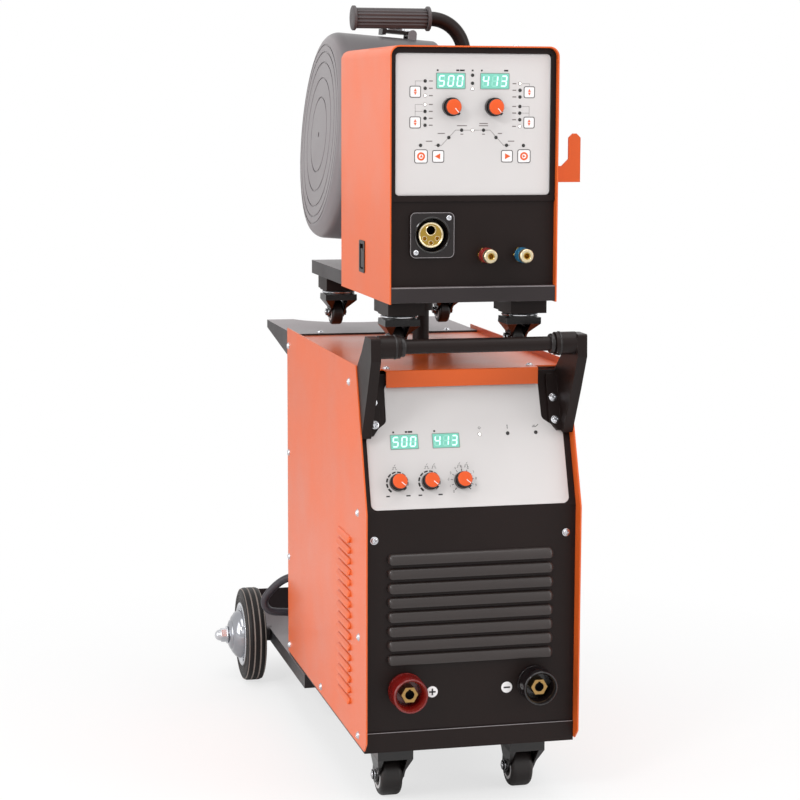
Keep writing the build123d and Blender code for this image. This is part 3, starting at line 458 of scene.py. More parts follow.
def turned(bm, face, profile, steps=48, closed=False, flutes=0, flute_depth=0):
    """A shape turned about the face's outward axis; profile is (radius, height) pairs."""
    rings = []
    for radius, height in profile:
        if radius < 0.01:
            rings.append([bm.verts.new(face.at(0, 0, height))])
            continue
        ring = []
        for i in range(steps):
            angle = 2 * pi * i / steps
            reach = radius - flute_depth * (0.5 - 0.5 * cos(flutes * angle))
            ring.append(bm.verts.new(face.at(reach * cos(angle), reach * sin(angle), height)))
        rings.append(ring)
    pairs = list(zip(rings, rings[1:]))
    if closed:
        pairs.append((rings[-1], rings[0]))
    for first, second in pairs:
        bridge(bm, first, second)


def spun(name, body, look, face, profile, steps=48, **shape):
    """A piece that is a single turned shape."""
    bm = bmesh.new()
    turned(bm, face, profile, steps, **shape)
    place(name, bm, body, look)


def circle(x, y, radius, steps=32):
    angles = [2 * pi * i / steps for i in range(steps)]
    return [(x + radius * cos(a), y + radius * sin(a)) for a in angles]


def rounded(x, y, width, height, radius, steps=5):
    """Outline of a rectangle with rounded corners."""
    points = []
    for i, (sx, sy) in enumerate(((1, 1), (-1, 1), (-1, -1), (1, -1))):
        cx = x + sx * (width / 2 - radius)
        cy = y + sy * (height / 2 - radius)
        for k in range(steps + 1):
            angle = pi / 2 * (i + k / steps)
            points.append((cx + radius * cos(angle), cy + radius * sin(angle)))
    return points


def stroke(bm, face, points, width, low=0, high=0.1):
    """A printed line of even width through the points."""
    for (x0, y0), (x1, y1) in zip(points, points[1:]):
        length = hypot(x1 - x0, y1 - y0)
        ux, uy = (x1 - x0) / length * width / 2, (y1 - y0) / length * width / 2
        x0, y0, x1, y1 = x0 - ux, y0 - uy, x1 + ux, y1 + uy
        outline = [(x0 + uy, y0 - ux), (x1 + uy, y1 - ux), (x1 - uy, y1 + ux), (x0 - uy, y0 + ux)]
        prism(bm, face, outline, low, high)


SEGMENTS = {"0": "abcdef", "1": "bc", "2": "abged", "3": "abgcd", "4": "fgbc", "5": "afgcd",
            "6": "afgedc", "7": "abc", "8": "abcdefg", "9": "abcdfg"}


def digit(bm, face, x, y, height, shown, low, high, slant=0.12):
    """The named segments of one seven-segment digit, centred on (x, y)."""
    half_w, half_h, thick = height * 0.26, height * 0.5, height * 0.13
    gap = thick * 0.62
    spots = {
        "a": ((-half_w, half_h), (half_w, half_h)), "g": ((-half_w, 0), (half_w, 0)),
        "d": ((-half_w, -half_h), (half_w, -half_h)), "f": ((-half_w, 0), (-half_w, half_h)),
        "e": ((-half_w, -half_h), (-half_w, 0)), "b": ((half_w, 0), (half_w, half_h)),
        "c": ((half_w, -half_h), (half_w, 0)),
    }
    for segment in shown:
        (x0, y0), (x1, y1) = spots[segment]
        length = hypot(x1 - x0, y1 - y0)
        ux, uy = (x1 - x0) / length, (y1 - y0) / length
        x0, y0, x1, y1 = x0 + ux * gap, y0 + uy * gap, x1 - ux * gap, y1 - uy * gap
        t = thick / 2
        outline = [
            (x0 - ux * t, y0 - uy * t), (x0 + uy * t, y0 - ux * t), (x1 + uy * t, y1 - ux * t),
            (x1 + ux * t, y1 + uy * t), (x1 - uy * t, y1 + ux * t), (x0 - uy * t, y0 + ux * t),
        ]
        prism(bm, face, [(x + px + slant * py, y + py) for px, py in outline], low, high)


def islands(node_name):
    """Vertices of each separate solid of a CAD node."""
    bm = bmesh.new()
    bm.from_mesh(nodes[node_name].data)
    bmesh.ops.remove_doubles(bm, verts=bm.verts, dist=1e-5)
    left = set(bm.verts)
    found = []
    while left:
        group, queue = [], [left.pop()]
        while queue:
            vertex = queue.pop()
            group.append(vertex.co.copy())
            for edge in vertex.link_edges:
                other = edge.other_vert(vertex)
                if other in left:
                    left.remove(other)
                    queue.append(other)
        found.append(group)
    bm.free()
    return sorted(found, key=lambda group: tuple(sum(group, Vector()) / len(group)))


# ==== working faces
fascia_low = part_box("control_fascia")[0]
lean = atan2(70, 199)
fascia_edge = 2     # the sheet behind the fascia shows this much below it
film = 1.5            # thickness of the fascia film
slope = Face(
    (
        0,
        fascia_low.y + (film * cos(lean) - fascia_edge * sin(lean)) * MM,
        fascia_low.z - fascia_edge * cos(lean) * MM,
    ),
    (1, 0, 0),
    (0, sin(lean), cos(lean)),
)
lower_film = slope.shifted(0, 0, film)
lower_front = front_face((0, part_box("plus_socket")[1].y, 0))
panel_low, panel_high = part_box("feeder_fascia")
feeder_film = front_face((0, panel_low.y, panel_low.z))
fascia_height = feeder_film.find((0, 0, panel_high.z))[1]


# ==== printed and lit details
def display(name, body, face, x, y, width, height, number):
    """A three-digit display: window, unlit segments and lit segments."""
    bm = bmesh.new()
    prism(bm, face, rounded(x, y, width, height, 0.6), 0, 0.5)
    place(f"{name}_window", bm, body, "window", bevel=0.15)
    for part, look in (("lit", "segment"), ("unlit", "window_dim")):
        bm = bmesh.new()
        for i, character in enumerate(number):
            wanted = SEGMENTS[character]
            if part == "unlit":
                wanted = [c for c in "abcdefg" if c not in wanted]
            spot = x + (i - 1) * width * 0.32
            digit(bm, face, spot, y, height * 0.66, wanted, 0.45, 0.62 if part == "lit" else 0.54)
        place(f"{name}_{part}", bm, body, look)
    bm = bmesh.new()
    band(bm, face, rounded(x, y, width + 1.2, height + 1.2, 0.9), rounded(x, y, width, height, 0.6),
         0, 0.6)
    place(f"{name}_frame", bm, body, "grey_print", bevel=0.12)


def lamps(name, body, face, spots, lit, radius=1.7):
    """A group of round indicator lamps with their bezels."""
    bezels, lenses = bmesh.new(), bmesh.new()
    dome = [(radius * cos(a), 0.2 + 0.9 * sin(a)) for a in (0, 0.4, 0.8, 1.2)]
    for x, y in spots:
        spot = face.shifted(x, y)
        turned(bezels, spot, [(radius + 0.7, 0), (radius + 0.6, 0.5), (radius, 0.6), (radius, 0)],
               24, closed=True)
        turned(lenses, spot, [(radius, 0)] + dome + [(0, 1.1)], 24)
    # the bezel round a lit lamp is a lighter grey than round an unlit one: painted glow of the lamp
    place(f"{name}_bezels", bezels, body, "grey_print" if lit else "lens_off")
    place(f"{name}_lenses", lenses, body, "lens_on" if lit else "lens_off")


def key(bm_rim, bm_face, face, x, y, size):
    """One flat membrane key: a dark rounded outline and a raised white centre."""
    outer = rounded(x, y, size, size, size * 0.16)
    band(bm_rim, face, outer, rounded(x, y, size - 1.7, size - 1.7, size * 0.12), 0, 0.3)
    prism(bm_face, face, rounded(x, y, size - 2, size - 2, size * 0.12), 0, 0.34)


SYMBOL = (0.3, 0.46)      # bottom and top of the print on a key


def arrow(bm, face, x, y, size, angle):
    """A triangle pointing along angle, in degrees from across."""
    points = []
    for turn, reach in ((0, 1), (125, 0.95), (235, 0.95)):
        a = radians(angle + turn)
        points.append((x + size * reach * cos(a), y + size * reach * sin(a)))
    prism(bm, face, points, *SYMBOL)


def caption(bm, face, x, y, words, height=1.1):
    """Small printed bars that stand in for a caption."""
    total = sum(words) + 0.9 * (len(words) - 1)
    start = x - total / 2
    for length in words:
        stroke(bm, face, [(start + height / 2, y), (start + length - height / 2, y)], height)
        start += length + 0.9


def pointer_cap(name, body, centre, radius, angle, base=16, top=17.4):
    """The coloured cap, the pointer line and the fluted grip of a control knob."""
    spun(f"{name}_cap", body, "knob_orange", centre, [
        (radius, base), (radius, top - 0.7), (radius - 0.25, top - 0.2), (radius - 0.8, top),
        (radius * 0.5, top + 0.12), (0, top + 0.16)
    ], 64)
    bm = bmesh.new()
    line = [(r * cos(angle), r * sin(angle)) for r in (radius * 0.28, radius * 0.9)]
    stroke(bm, centre, line, 1, top - 0.3, top + 0.26)
    place(f"{name}_pointer", bm, body, "key_white", bevel=0.1)
    spun(f"{name}_grip", body, "plastic", centre, [
        (radius + 0.75, base - 7.2), (radius + 0.75, base - 0.6), (radius + 0.3, base),
        (radius - 0.6, base + 0.05), (radius - 0.6, base - 7.2)
    ], 144, closed=True, flutes=36, flute_depth=0.7)


# ---- lower fascia; heights run up the slope from the fascia's lower edge
pointer = radians(-42)
lower_display_y, lower_lamp_y, lower_icon_y = 97, 104.5, 113.5
power_x, heat_x, fault_x = 20.5, 61.5, 102.9
dial_y, dial_radius, icon_y, end_mark_y = 39.5, 14, 58.5, 21
display("left_display", "base", lower_film, -89.2, lower_display_y, 39, 20, "500")
display("right_display", "base", lower_film, -29.2, lower_display_y, 38.2, 20, "413")
lamps("power_lamp", "base", lower_film, [(power_x, lower_lamp_y)], True, radius=2)
lamps("status_lamps", "base", lower_film, [(heat_x, lower_lamp_y), (fault_x, lower_lamp_y)], False,
      radius=2)

bm = bmesh.new()
for x, words in ((-104, (2.4,)), (-82, (3.2, 6.4)), (-45, (2.4,))):
    caption(bm, lower_film, x, lower_display_y + 14, words, 2.5)
band(bm, lower_film, circle(power_x, lower_icon_y, 2.2, 4), circle(power_x, lower_icon_y, 1.5, 4))
stroke(bm, lower_film, [(heat_x, lower_icon_y - 2), (heat_x, lower_icon_y + 1)], 0.9)
prism(bm, lower_film, circle(heat_x, lower_icon_y + 2.5, 0.8, 12))
stroke(bm, lower_film, [(98.5, 112.6), (103, 112.6), (107, 115.6)], 0.8)
stroke(bm, lower_film, [(99.5, 114.6), (102, 114.6)], 0.8)
place("lower_captions", bm, "base", "print")

for word in ("left", "centre", "right"):
    x = slope.find(middle(f"{word}_knob"))[0]
    dial = lower_film.shifted(x, dial_y)
    pointer_cap(f"{word}_knob", f"{word}_knob", dial, 10.4, pointer)
    bm = bmesh.new()
    if word == "right":
        for i in range(11):
            a = radians(228 - 27.6 * i)
            tick = [(r * cos(a), r * sin(a)) for r in (dial_radius, dial_radius + 2.4)]
            stroke(bm, dial, tick, 1.1 if i % 5 == 0 else 0.7)
            if i < 10:
                digit(bm, dial, 20 * cos(a), 20 * sin(a), 3, SEGMENTS[str(i)], 0, 0.1, 0)
    else:
        for i in range(9):
            start, sweep = radians(232 - 28.5 * i), radians(21)
            inner = dial_radius + 0.2
            outer = inner + 1.2 + 0.2 * (8 - i)
            steps = [start - sweep * k / 4 for k in range(5)]
            outline = [(inner * cos(a), inner * sin(a)) for a in steps]
            outline += [(outer * cos(a), outer * sin(a)) for a in steps[::-1]]
            prism(bm, dial, outline)
        caption(bm, lower_film, x - 15, end_mark_y, (5.2,), 1.9)
        caption(bm, lower_film, x + 14, end_mark_y, (6,), 1.9)
    for k in range(1 if word == "left" else 2):
        icon = lower_film.shifted(x - 3 + 10.5 * k, icon_y)
        stroke(bm, icon, [(-3.4, 0), (-2, 0), (-2, 3), (1.6, 3), (1.6, 0), (3, 0)], 0.5)
        stroke(bm, icon, [(-0.4, 4.7), (1.4, 6.7)], 0.5)
    place(f"{word}_dial_print", bm, "base", "print")

# ---- louvre hoods with a rolled crown and closed, rounded ends
def louvre_hoods(name, face, spots, length, height, rise, body, look):
    """Curved hoods: flat against the sheet along the top, open along the bottom."""
    bulge = [radians(a) for a in (0, 16, 32, 47, 62, 77)]
    crown = [(cos(a) - 0.5, sin(a)) for a in bulge]
    crown += [(-0.42, 1), (-0.5, 0.96), (-0.51, 0.8)]
    half = length / 2 - height / 2
    stations = [(-half - height / 2 * cos(a), sin(a)) for a in (0.12, 0.35, 0.65, 1, 1.3)]
    stations += [(-half, 1), (0, 1), (half, 1)]
    stations += [(-x, size) for x, size in stations[4::-1]]
    bm = bmesh.new()
    for cx, cy in spots:
        rows = [
            [bm.verts.new(face.at(cx + x, cy + v * height * size, 0.15 + (rise + 0.4) * z * size))
             for v, z in crown]
            for x, size in stations
        ]
        for first, second in zip(rows, rows[1:]):
            for k in range(len(crown) - 1):
                bm.faces.new((first[k], first[k + 1], second[k + 1], second[k]))
        for row in (rows[0], rows[-1]):
            bm.faces.new(row)
    skin = place(name, bm, body, look, sharp=60).modifiers.new("sheet", "SOLIDIFY")
    skin.thickness = 0.5 * MM
    skin.offset = -1


SHEET_X = 0.155       # outer face of the side panels
LOUVRE_Y = 0.1435     # middle of the side louvres, behind the panels' front edge
# the front hoods take the lighter black: painted highlight on the hood slopes
louvre_hoods("front_louvre_hoods", lower_front, [(0, 224 + 20.4 * row) for row in range(8)],
             241.6, 14.9, 7, "base", "hood")
for side, word in ((-1, "left"), (1, "right")):
    panel_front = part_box(f"{word}_side_panel")[0].y
    wall = side_face((side * SHEET_X, panel_front + LOUVRE_Y, 0), side)
    louvre_hoods(f"{word}_louvre_hoods", wall, [(0, 144 + 15.7 * row) for row in range(16)],
                 85.5, 9.9, 4.2, "base", "orange")

# ---- weld socket collars, flared at the mouth so that a plug finds its way in
for node_name, look in (("plus_socket", "red"), ("minus_socket", "gloss")):
    low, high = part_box(node_name)
    reach = (high.y - low.y) / MM
    seat = front_face(((low.x + high.x) / 2, high.y, (low.z + high.z) / 2))
    bm = bmesh.new()
    turned(bm, seat, [
        (8, 0), (25, 0), (25, reach - 3), (24.3, reach - 0.8), (23.2, reach), (22.2, reach - 0.3),
        (21.6, reach - 1.4), (20.4, reach - 3), (18.2, reach - 12), (17.4, reach - 20), (17.2, 9),
        (8, 9)
    ], 96, closed=True)
    turned(bm, seat, [(25, 3), (25.6, 3.4), (25.6, 6.6), (25, 7)], 96)
    collar = place(f"{node_name}_collar", bm, "base", look)
    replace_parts(collar, node_name)
    mouth = (high.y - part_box("socket_contacts")[0].y) / MM
    # a near-black lining inside the socket bore: painted shade over the contact
    spun(
        f"{node_name}_contact_bore", "base", "cavity", seat,
        [(6.5, mouth - 1.2), (5.9, mouth - 2.2), (5.9, mouth - 9), (0, mouth - 9)], 48
    )

# ---- painted highlights: grey lines along the top folds of the sheet metal
for node_name, body in (("feeder_platform", "feeder"), ("base_tray", "base")):
    low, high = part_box(node_name)
    fold_highlight = front_face((0, low.y, high.z))
    bm = bmesh.new()
    stroke(bm, fold_highlight, [(low.x / MM + 1.2, -0.7), (high.x / MM - 1.2, -0.7)], 0.9, -0.3, 0.25)
    place(f"{node_name}_fold", bm, body, "edge_highlight")

# ---- polarity discs beside the weld sockets
for name, x, plus in (("plus_mark", -55, True), ("minus_mark", 54, False)):
    mark = lower_front.shifted(x, 174)
    spun(f"{name}_disc", "base", "key_white", mark, [(8, 0), (8, 0.5), (7.6, 0.8), (0, 0.8)])
    bm = bmesh.new()
    stroke(bm, mark, [(-3.6, 0), (3.6, 0)], 2.2, 0.7, 1.1)
    if plus:
        stroke(bm, mark, [(0, -3.6), (0, 3.6)], 2.2, 0.7, 1.1)
    place(f"{name}_sign", bm, "base", "print")

# ---- feeder fascia; heights are above the fascia's lower edge
top_row = fascia_height - 37
display("feeder_left_display", "feeder", feeder_film, -32, top_row, 40, 20.5, "500")
display("feeder_right_display", "feeder", feeder_film, 30, top_row, 40, 20.5, "413")
for name in ("current_knob", "voltage_knob"):
    x = feeder_film.find(middle(name))[0]
    pointer_cap(name, name, feeder_film.shifted(x, 120), 10.4, radians(-50))

left_x, right_x = -67.9, 66                # columns of lamps
left_key_x, right_key_x = -81.7, 79.3      # columns of keys
upper_left = [(left_x, 154.5 - 9.8 * i) for i in range(3)]
lower_left = [(left_x, 123 - 9.3 * i) for i in range(4)]
upper_right = [(right_x, 151.6 - 9 * i) for i in range(3)]
lower_right = [(right_x, 120.7 - 9 * i) for i in range(4)]
column = [(-1.5, 162.6), (-1.5, 151.8), (-1.5, 144.4)]
curve_low, curve_mid, curve_high = 68, 78.5, 88.5
curve = [(-49.3, curve_low), (-34.4, curve_mid), (-16.4, curve_high), (14.6, curve_high),
         (32.4, curve_mid), (47.5, curve_low)]
lamps("feeder_lamps_off", "feeder", feeder_film,
      upper_left[:2] + lower_left[1:] + upper_right[1:] + lower_right[:3] + column[:2] + curve
      + [(-74, curve_low), (71.7, curve_low - 0.4)], False)
lamps("feeder_lamps_on", "feeder", feeder_film, [
    upper_left[2], lower_left[0], upper_right[0], lower_right[3], column[2], (-0.8, curve_high)
], True)

rims, tops, symbols = bmesh.new(), bmesh.new(), bmesh.new()
for x in (left_key_x, right_key_x):
    for y in (140, 98.8):
        key(rims, tops, feeder_film, x, y, 15.8)
        arrow(symbols, feeder_film, x, y + 1.9, 2.6, 90)
        arrow(symbols, feeder_film, x, y - 1.9, 2.6, -90)
key_row = 53
for x, angle in ((-49.2, 180), (48.2, 0)):
    key(rims, tops, feeder_film, x, key_row, 16.7)
    arrow(symbols, feeder_film, x, key_row, 5, angle)
for x, sign in ((-73.3, 1), (72.6, -1)):
    key(rims, tops, feeder_film, x, key_row, 18.7)
    band(symbols, feeder_film, circle(x, key_row, 5.6, 30), circle(x, key_row, 3.2, 30), *SYMBOL)
    arrow(symbols, feeder_film, x + sign * 0.4, key_row, 2.6, 90 if sign > 0 else 0)
place("key_outlines", rims, "feeder", "print")
place("key_faces", tops, "feeder", "key_white", bevel=0.1)
place("key_symbols", symbols, "feeder", "orange_print")

bm = bmesh.new()
for rows, x, side in ((upper_left[:1], left_x, -1), (lower_left[:2], left_x, -1),
                      (upper_right[:1], right_x, 1), (lower_right[:2], right_x, 1)):
    stem_x = left_key_x if side < 0 else right_key_x
    for lamp_x, y in rows:
        stroke(bm, feeder_film, [(lamp_x + side * 3.6, y), (stem_x, y)], 0.45)
    bottom = 148.6 if rows[0][1] > 130 else 107.4
    stroke(bm, feeder_film, [(stem_x, rows[0][1]), (stem_x, bottom)], 0.45)
stroke(bm, feeder_film, [(-54, curve_low), (-44.5, curve_low), (-25, curve_high), (24, curve_high),
                         (43, curve_low), (52, curve_low)], 0.6)
for rows, sign in ((upper_left + lower_left, 1), (upper_right + lower_right, -1)):
    for x, y in rows:
        caption(bm, feeder_film, x + sign * 8, y, (5.4,), 1.5)
for x, y, words in (
    (-62, curve_low + 5.5, (9,)), (-45, curve_mid + 5.5, (10,)), (-16, curve_high + 6, (14,)),
    (14.6, curve_high + 6, (13,)), (14.6, curve_high + 9, (12,)), (38, curve_mid + 5.5, (6,)),
    (54, curve_low + 5.5, (9,)), (-16, curve_high - 5.5, (4,)), (14.6, curve_high - 5.5, (4,))
):
    caption(bm, feeder_film, x, y, words, 1.3)
place("feeder_print", bm, "feeder", "grey_print")
bm = bmesh.new()
for x, words in ((-50.5, (2.2,)), (-18.5, (4, 6.8)), (-1.5, (2,)), (11.5, (2.2,)), (46, (6,))):
    caption(bm, feeder_film, x, top_row + 14.2, words, 2.3)
place("feeder_captions", bm, "feeder", "print")

# ==== torch socket and couplings
torch = middle("torch_socket_insert")
torch_face = front_face((torch.x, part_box("torch_socket_flange")[0].y, torch.z))
spun(
    "torch_opening_lip", "feeder", "gloss", torch_face,
    [(25.6, -0.5), (25.6, 0.5), (24.6, 1.1), (23.6, 0.9), (22.9, 0.1), (22.9, -4), (24, -4)],
    steps=96, closed=True
)
# a grey band round the flange's edge: painted highlight on its chamfer
bm = bmesh.new()
band(bm, torch_face, rounded(0, 0, 62.1, 62.1, 7.3), rounded(0, 0, 60.3, 60.3, 6.4), -0.9, 0.35)
place("torch_flange_edge_highlight", bm, "feeder", "edge_highlight", bevel=0.3)
insert_face = front_face((torch.x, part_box("torch_socket_insert")[0].y, torch.z))
bm = bmesh.new()
turned(bm, insert_face, [(18, -3), (18, 0.6), (17.3, 1.5), (15.9, 1.5), (15, 0.8), (15, -0.2)],
       96)
turned(bm, insert_face.shifted(0, 6.5), [(7.6, -0.2), (7.6, 0.9), (7, 1.3), (6.4, 1), (6.2, -0.2)],
       steps=48)
for x, y in ((-9, -5), (9, -5), (0, -11)):
    turned(
        bm, insert_face.shifted(x, y), [(3.5, -0.2), (3.5, 0.6), (2.9, 0.7), (2.7, -0.2)], steps=24
    )
place("torch_insert_rings", bm, "feeder", "pale_brass")


def screw_head(bm, face, radius, rise, cells=14):
    """A domed screw head with a cross recess."""
    grid = {}
    for i in range(cells + 1):
        for j in range(cells + 1):
            u, v = 2 * i / cells - 1, 2 * j / cells - 1
            x, y = u * sqrt(1 - v * v / 2), v * sqrt(1 - u * u / 2)
            r = hypot(x, y)
            z = rise * (0.42 + 0.58 * sqrt(max(0, 1 - r * r)))
            narrow, wide = sorted((abs(u), abs(v)))
            if narrow < 0.15 and wide < 0.58:
                z -= rise * 0.62
            grid[i, j] = bm.verts.new(face.at(x * radius, y * radius, z))
    for i in range(cells):
        for j in range(cells):
            bm.faces.new((grid[i, j], grid[i + 1, j], grid[i + 1, j + 1], grid[i, j + 1]))
    rim = [(i, 0) for i in range(cells)] + [(cells, j) for j in range(cells)]
    rim += [(i, cells) for i in range(cells, 0, -1)] + [(0, j) for j in range(cells, 0, -1)]
    base = [bm.verts.new(grid[k].co - face.out * rise * 0.42 * MM) for k in rim]
    bridge(bm, [grid[k] for k in rim], base)


bm = bmesh.new()
for sign in (-1, 1):
    screw_head(bm, torch_face.shifted(23.2 * sign, 23.6 * sign), 3.8, 1.8)
place("torch_flange_screws", bm, "feeder", "zinc", sharp=55)

for spot in islands("coolant_couplings"):
    low, high = extent(spot)
    mid = (low + high) / 2
    between = 0.04    # x between the two couplings
    name, look = ("coolant_out", "crimson") if mid.x < between else ("coolant_return", "blue")
    centre = front_face((mid.x, low.y + 33 * MM, mid.z))
    spun(f"{name}_collar", "feeder", look, centre, [
        (8.2, 4.4), (9.8, 4.8), (10.6, 6.2), (10.6, 9.4), (9.7, 10), (10.6, 10.6), (10.6, 15.4),
        (9.7, 16), (10.6, 16.6), (10.6, 21), (9.8, 22.6), (8, 23)
    ], steps=96, closed=True, flutes=32, flute_depth=0.4)
    spun(f"{name}_end", "feeder", "pale_brass", centre, [
        (8.4, 22.8), (9.5, 23.4), (9.9, 24.6), (9.9, 31), (9.4, 33), (8.4, 33.9), (5.2, 33.9),
        (4.6, 33), (4.6, 27)
    ], steps=64)
    bm = bmesh.new()
    prism(bm, centre, circle(0, 0, 11, 6), 0, 4.2)
    place(f"{name}_nut", bm, "feeder", "brass", bevel=0.5)

# ==== screws and nuts
origin = (0, 0, 0)
outward = {"left": side_face(origin, -1), "right": side_face(origin, 1),
           "front": front_face(origin), "top": top_face(origin), "slope": slope}
screws, nuts = bmesh.new(), bmesh.new()
for spot in islands("fasteners"):
    centre = sum(spot, Vector()) / len(spot)
    spans = {}
    for way, face in outward.items():
        reach = [p.dot(face.out) for p in spot]
        spans[way] = (max(reach) - min(reach), min(reach))
    del spans["right" if centre.x < 0 else "left"]
    way = min(spans, key=lambda k: spans[k][0])
    face, (span, low) = outward[way], spans[way]
    mid = sum(extent(spot), Vector()) / 2
    seat = Face(mid + face.out * (low - mid.dot(face.out)), face.across, face.up)
    if span < 5 * MM:
        radius = max(hypot(*seat.find(p)[:2]) for p in spot)
        turned(screws, seat, [
            (radius + 1.3, 0), (radius + 1.3, 0.5), (radius + 1, 0.7), (radius - 1, 0.7)
        ], 32)
        screw_head(screws, seat.shifted(0, 0, 0.4), radius, 3)
    else:
        inner_x = min((p.x for p in spot), key=abs)
        seat = side_face((inner_x, mid.y, mid.z), -1 if centre.x < 0 else 1)
        turned(
            nuts, seat.shifted(0, 0, -0.9), [(9, 0), (15.5, 0), (15.5, 0.9), (15, 1.2), (9, 1.2)],
            48, closed=True
        )
        prism(nuts, seat, circle(0, 0, 12.6, 6), 0.3, 10.4)
        dome = [(9.6 * cos(a), 11.6 + 9 * sin(a)) for a in (0, 0.3, 0.6, 0.9, 1.2)]
        turned(nuts, seat, [(10.4, 10.2), (9.8, 10.8)] + dome + [(0, 20.8)], 48)
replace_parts(place("case_screws", screws, "base", "zinc", sharp=55), "fasteners")
place("axle_nuts", nuts, "base", "zinc", bevel=0.4)

casing_low, casing_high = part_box("feeder_casing")
bm = bmesh.new()
for x, y in (
    (0.060, casing_low.y + 0.013), (0.060, casing_high.y - 0.016), (-0.060, casing_high.y - 0.016)
):
    screw_head(bm, top_face((x, y, casing_high.z)), 3.6, 2.6)
place("feeder_screws", bm, "feeder", "zinc", sharp=55)

rear = Face((0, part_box("rear_panel")[1].y, 0), (-1, 0, 0), (0, 0, 1))
bm = bmesh.new()
for x in (-143, 143):
    for height in (132, 345, 560):
        turned(bm, rear.shifted(x, height), [(5.6, 0), (5.6, 0.5), (5.2, 0.7), (3.4, 0.7)], 32)
        screw_head(bm, rear.shifted(x, height, 0.4), 4.2, 2.4)
place("rear_panel_screws", bm, "base", "zinc", sharp=55)

# ==== flush latch on the feeder's side
latch = side_face((casing_low.x, casing_low.y + 0.172, 0.776), -1)
bm = bmesh.new()
band(bm, latch, rounded(0, 0, 34, 46, 3), rounded(0, 0, 22, 36, 2), -1.5, 1.6)
place("flush_latch_frame", bm, "feeder", "plastic", bevel=0.5)
# a near-black block in the recess round the paddle: painted shade
bm = bmesh.new()
prism(bm, latch, rounded(0, 0, 23.6, 38, 2), -6, -1.8)
place("flush_latch_well", bm, "feeder", "cavity", bevel=0.3)
bm = bmesh.new()
prism(bm, latch, rounded(0, -4, 18, 24, 2), -1.8, 0.7)
stroke(bm, latch, [(-6, 9.5), (6, 9.5)], 3.2, -1.8, 1.1)
place("flush_latch_paddle", bm, "feeder", "plastic", bevel=0.6)

# ==== handles
grip_low, grip_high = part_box("handle_grip")
grip_mid = (grip_low + grip_high) / 2
grip = side_face((grip_low.x, grip_mid.y, grip_mid.z), 1)
span = (grip_high.x - grip_low.x) / MM
bm = bmesh.new()
turned(bm, grip, [
    (0, 0), (3, 0.4), (6, 0), (17.4, 0), (18.5, 0.8), (18.5, 4.4), (17.4, 5.2), (15, 5.6)
], 96)
turned(bm, grip, [(14.2, 5.2), (15.4, 6.2), (15.4, span - 6.2), (14.2, span - 5.2)], 192,
       flutes=16, flute_depth=2.2)
turned(bm, grip, [(15, span - 5.6), (17.4, span - 5.2), (18.5, span - 4.4), (18.5, span - 0.8),
                  (17.4, span), (11.2, span)], 96)
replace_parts(place("ribbed_grip", bm, "feeder", "rubber"), "handle_grip")

HEAD_X = 0.110        # inner face of the bracket heads
bar_mid = middle("handle_bar")
bm = bmesh.new()
for side in (-1, 1):
    sleeve = side_face((side * HEAD_X, bar_mid.y, bar_mid.z), side)
    turned(bm, sleeve, [(16, 5), (16.8, 5.6), (16.8, 7.4), (16, 8)], 72)
    turned(bm, sleeve, [
        (10.2, -7.5), (13.2, -6.8), (13.9, -5.6), (13.9, -1.6), (13.2, -0.6), (10.2, -0.4)
    ], 72)
place("bar_rings", bm, "base", "plastic")

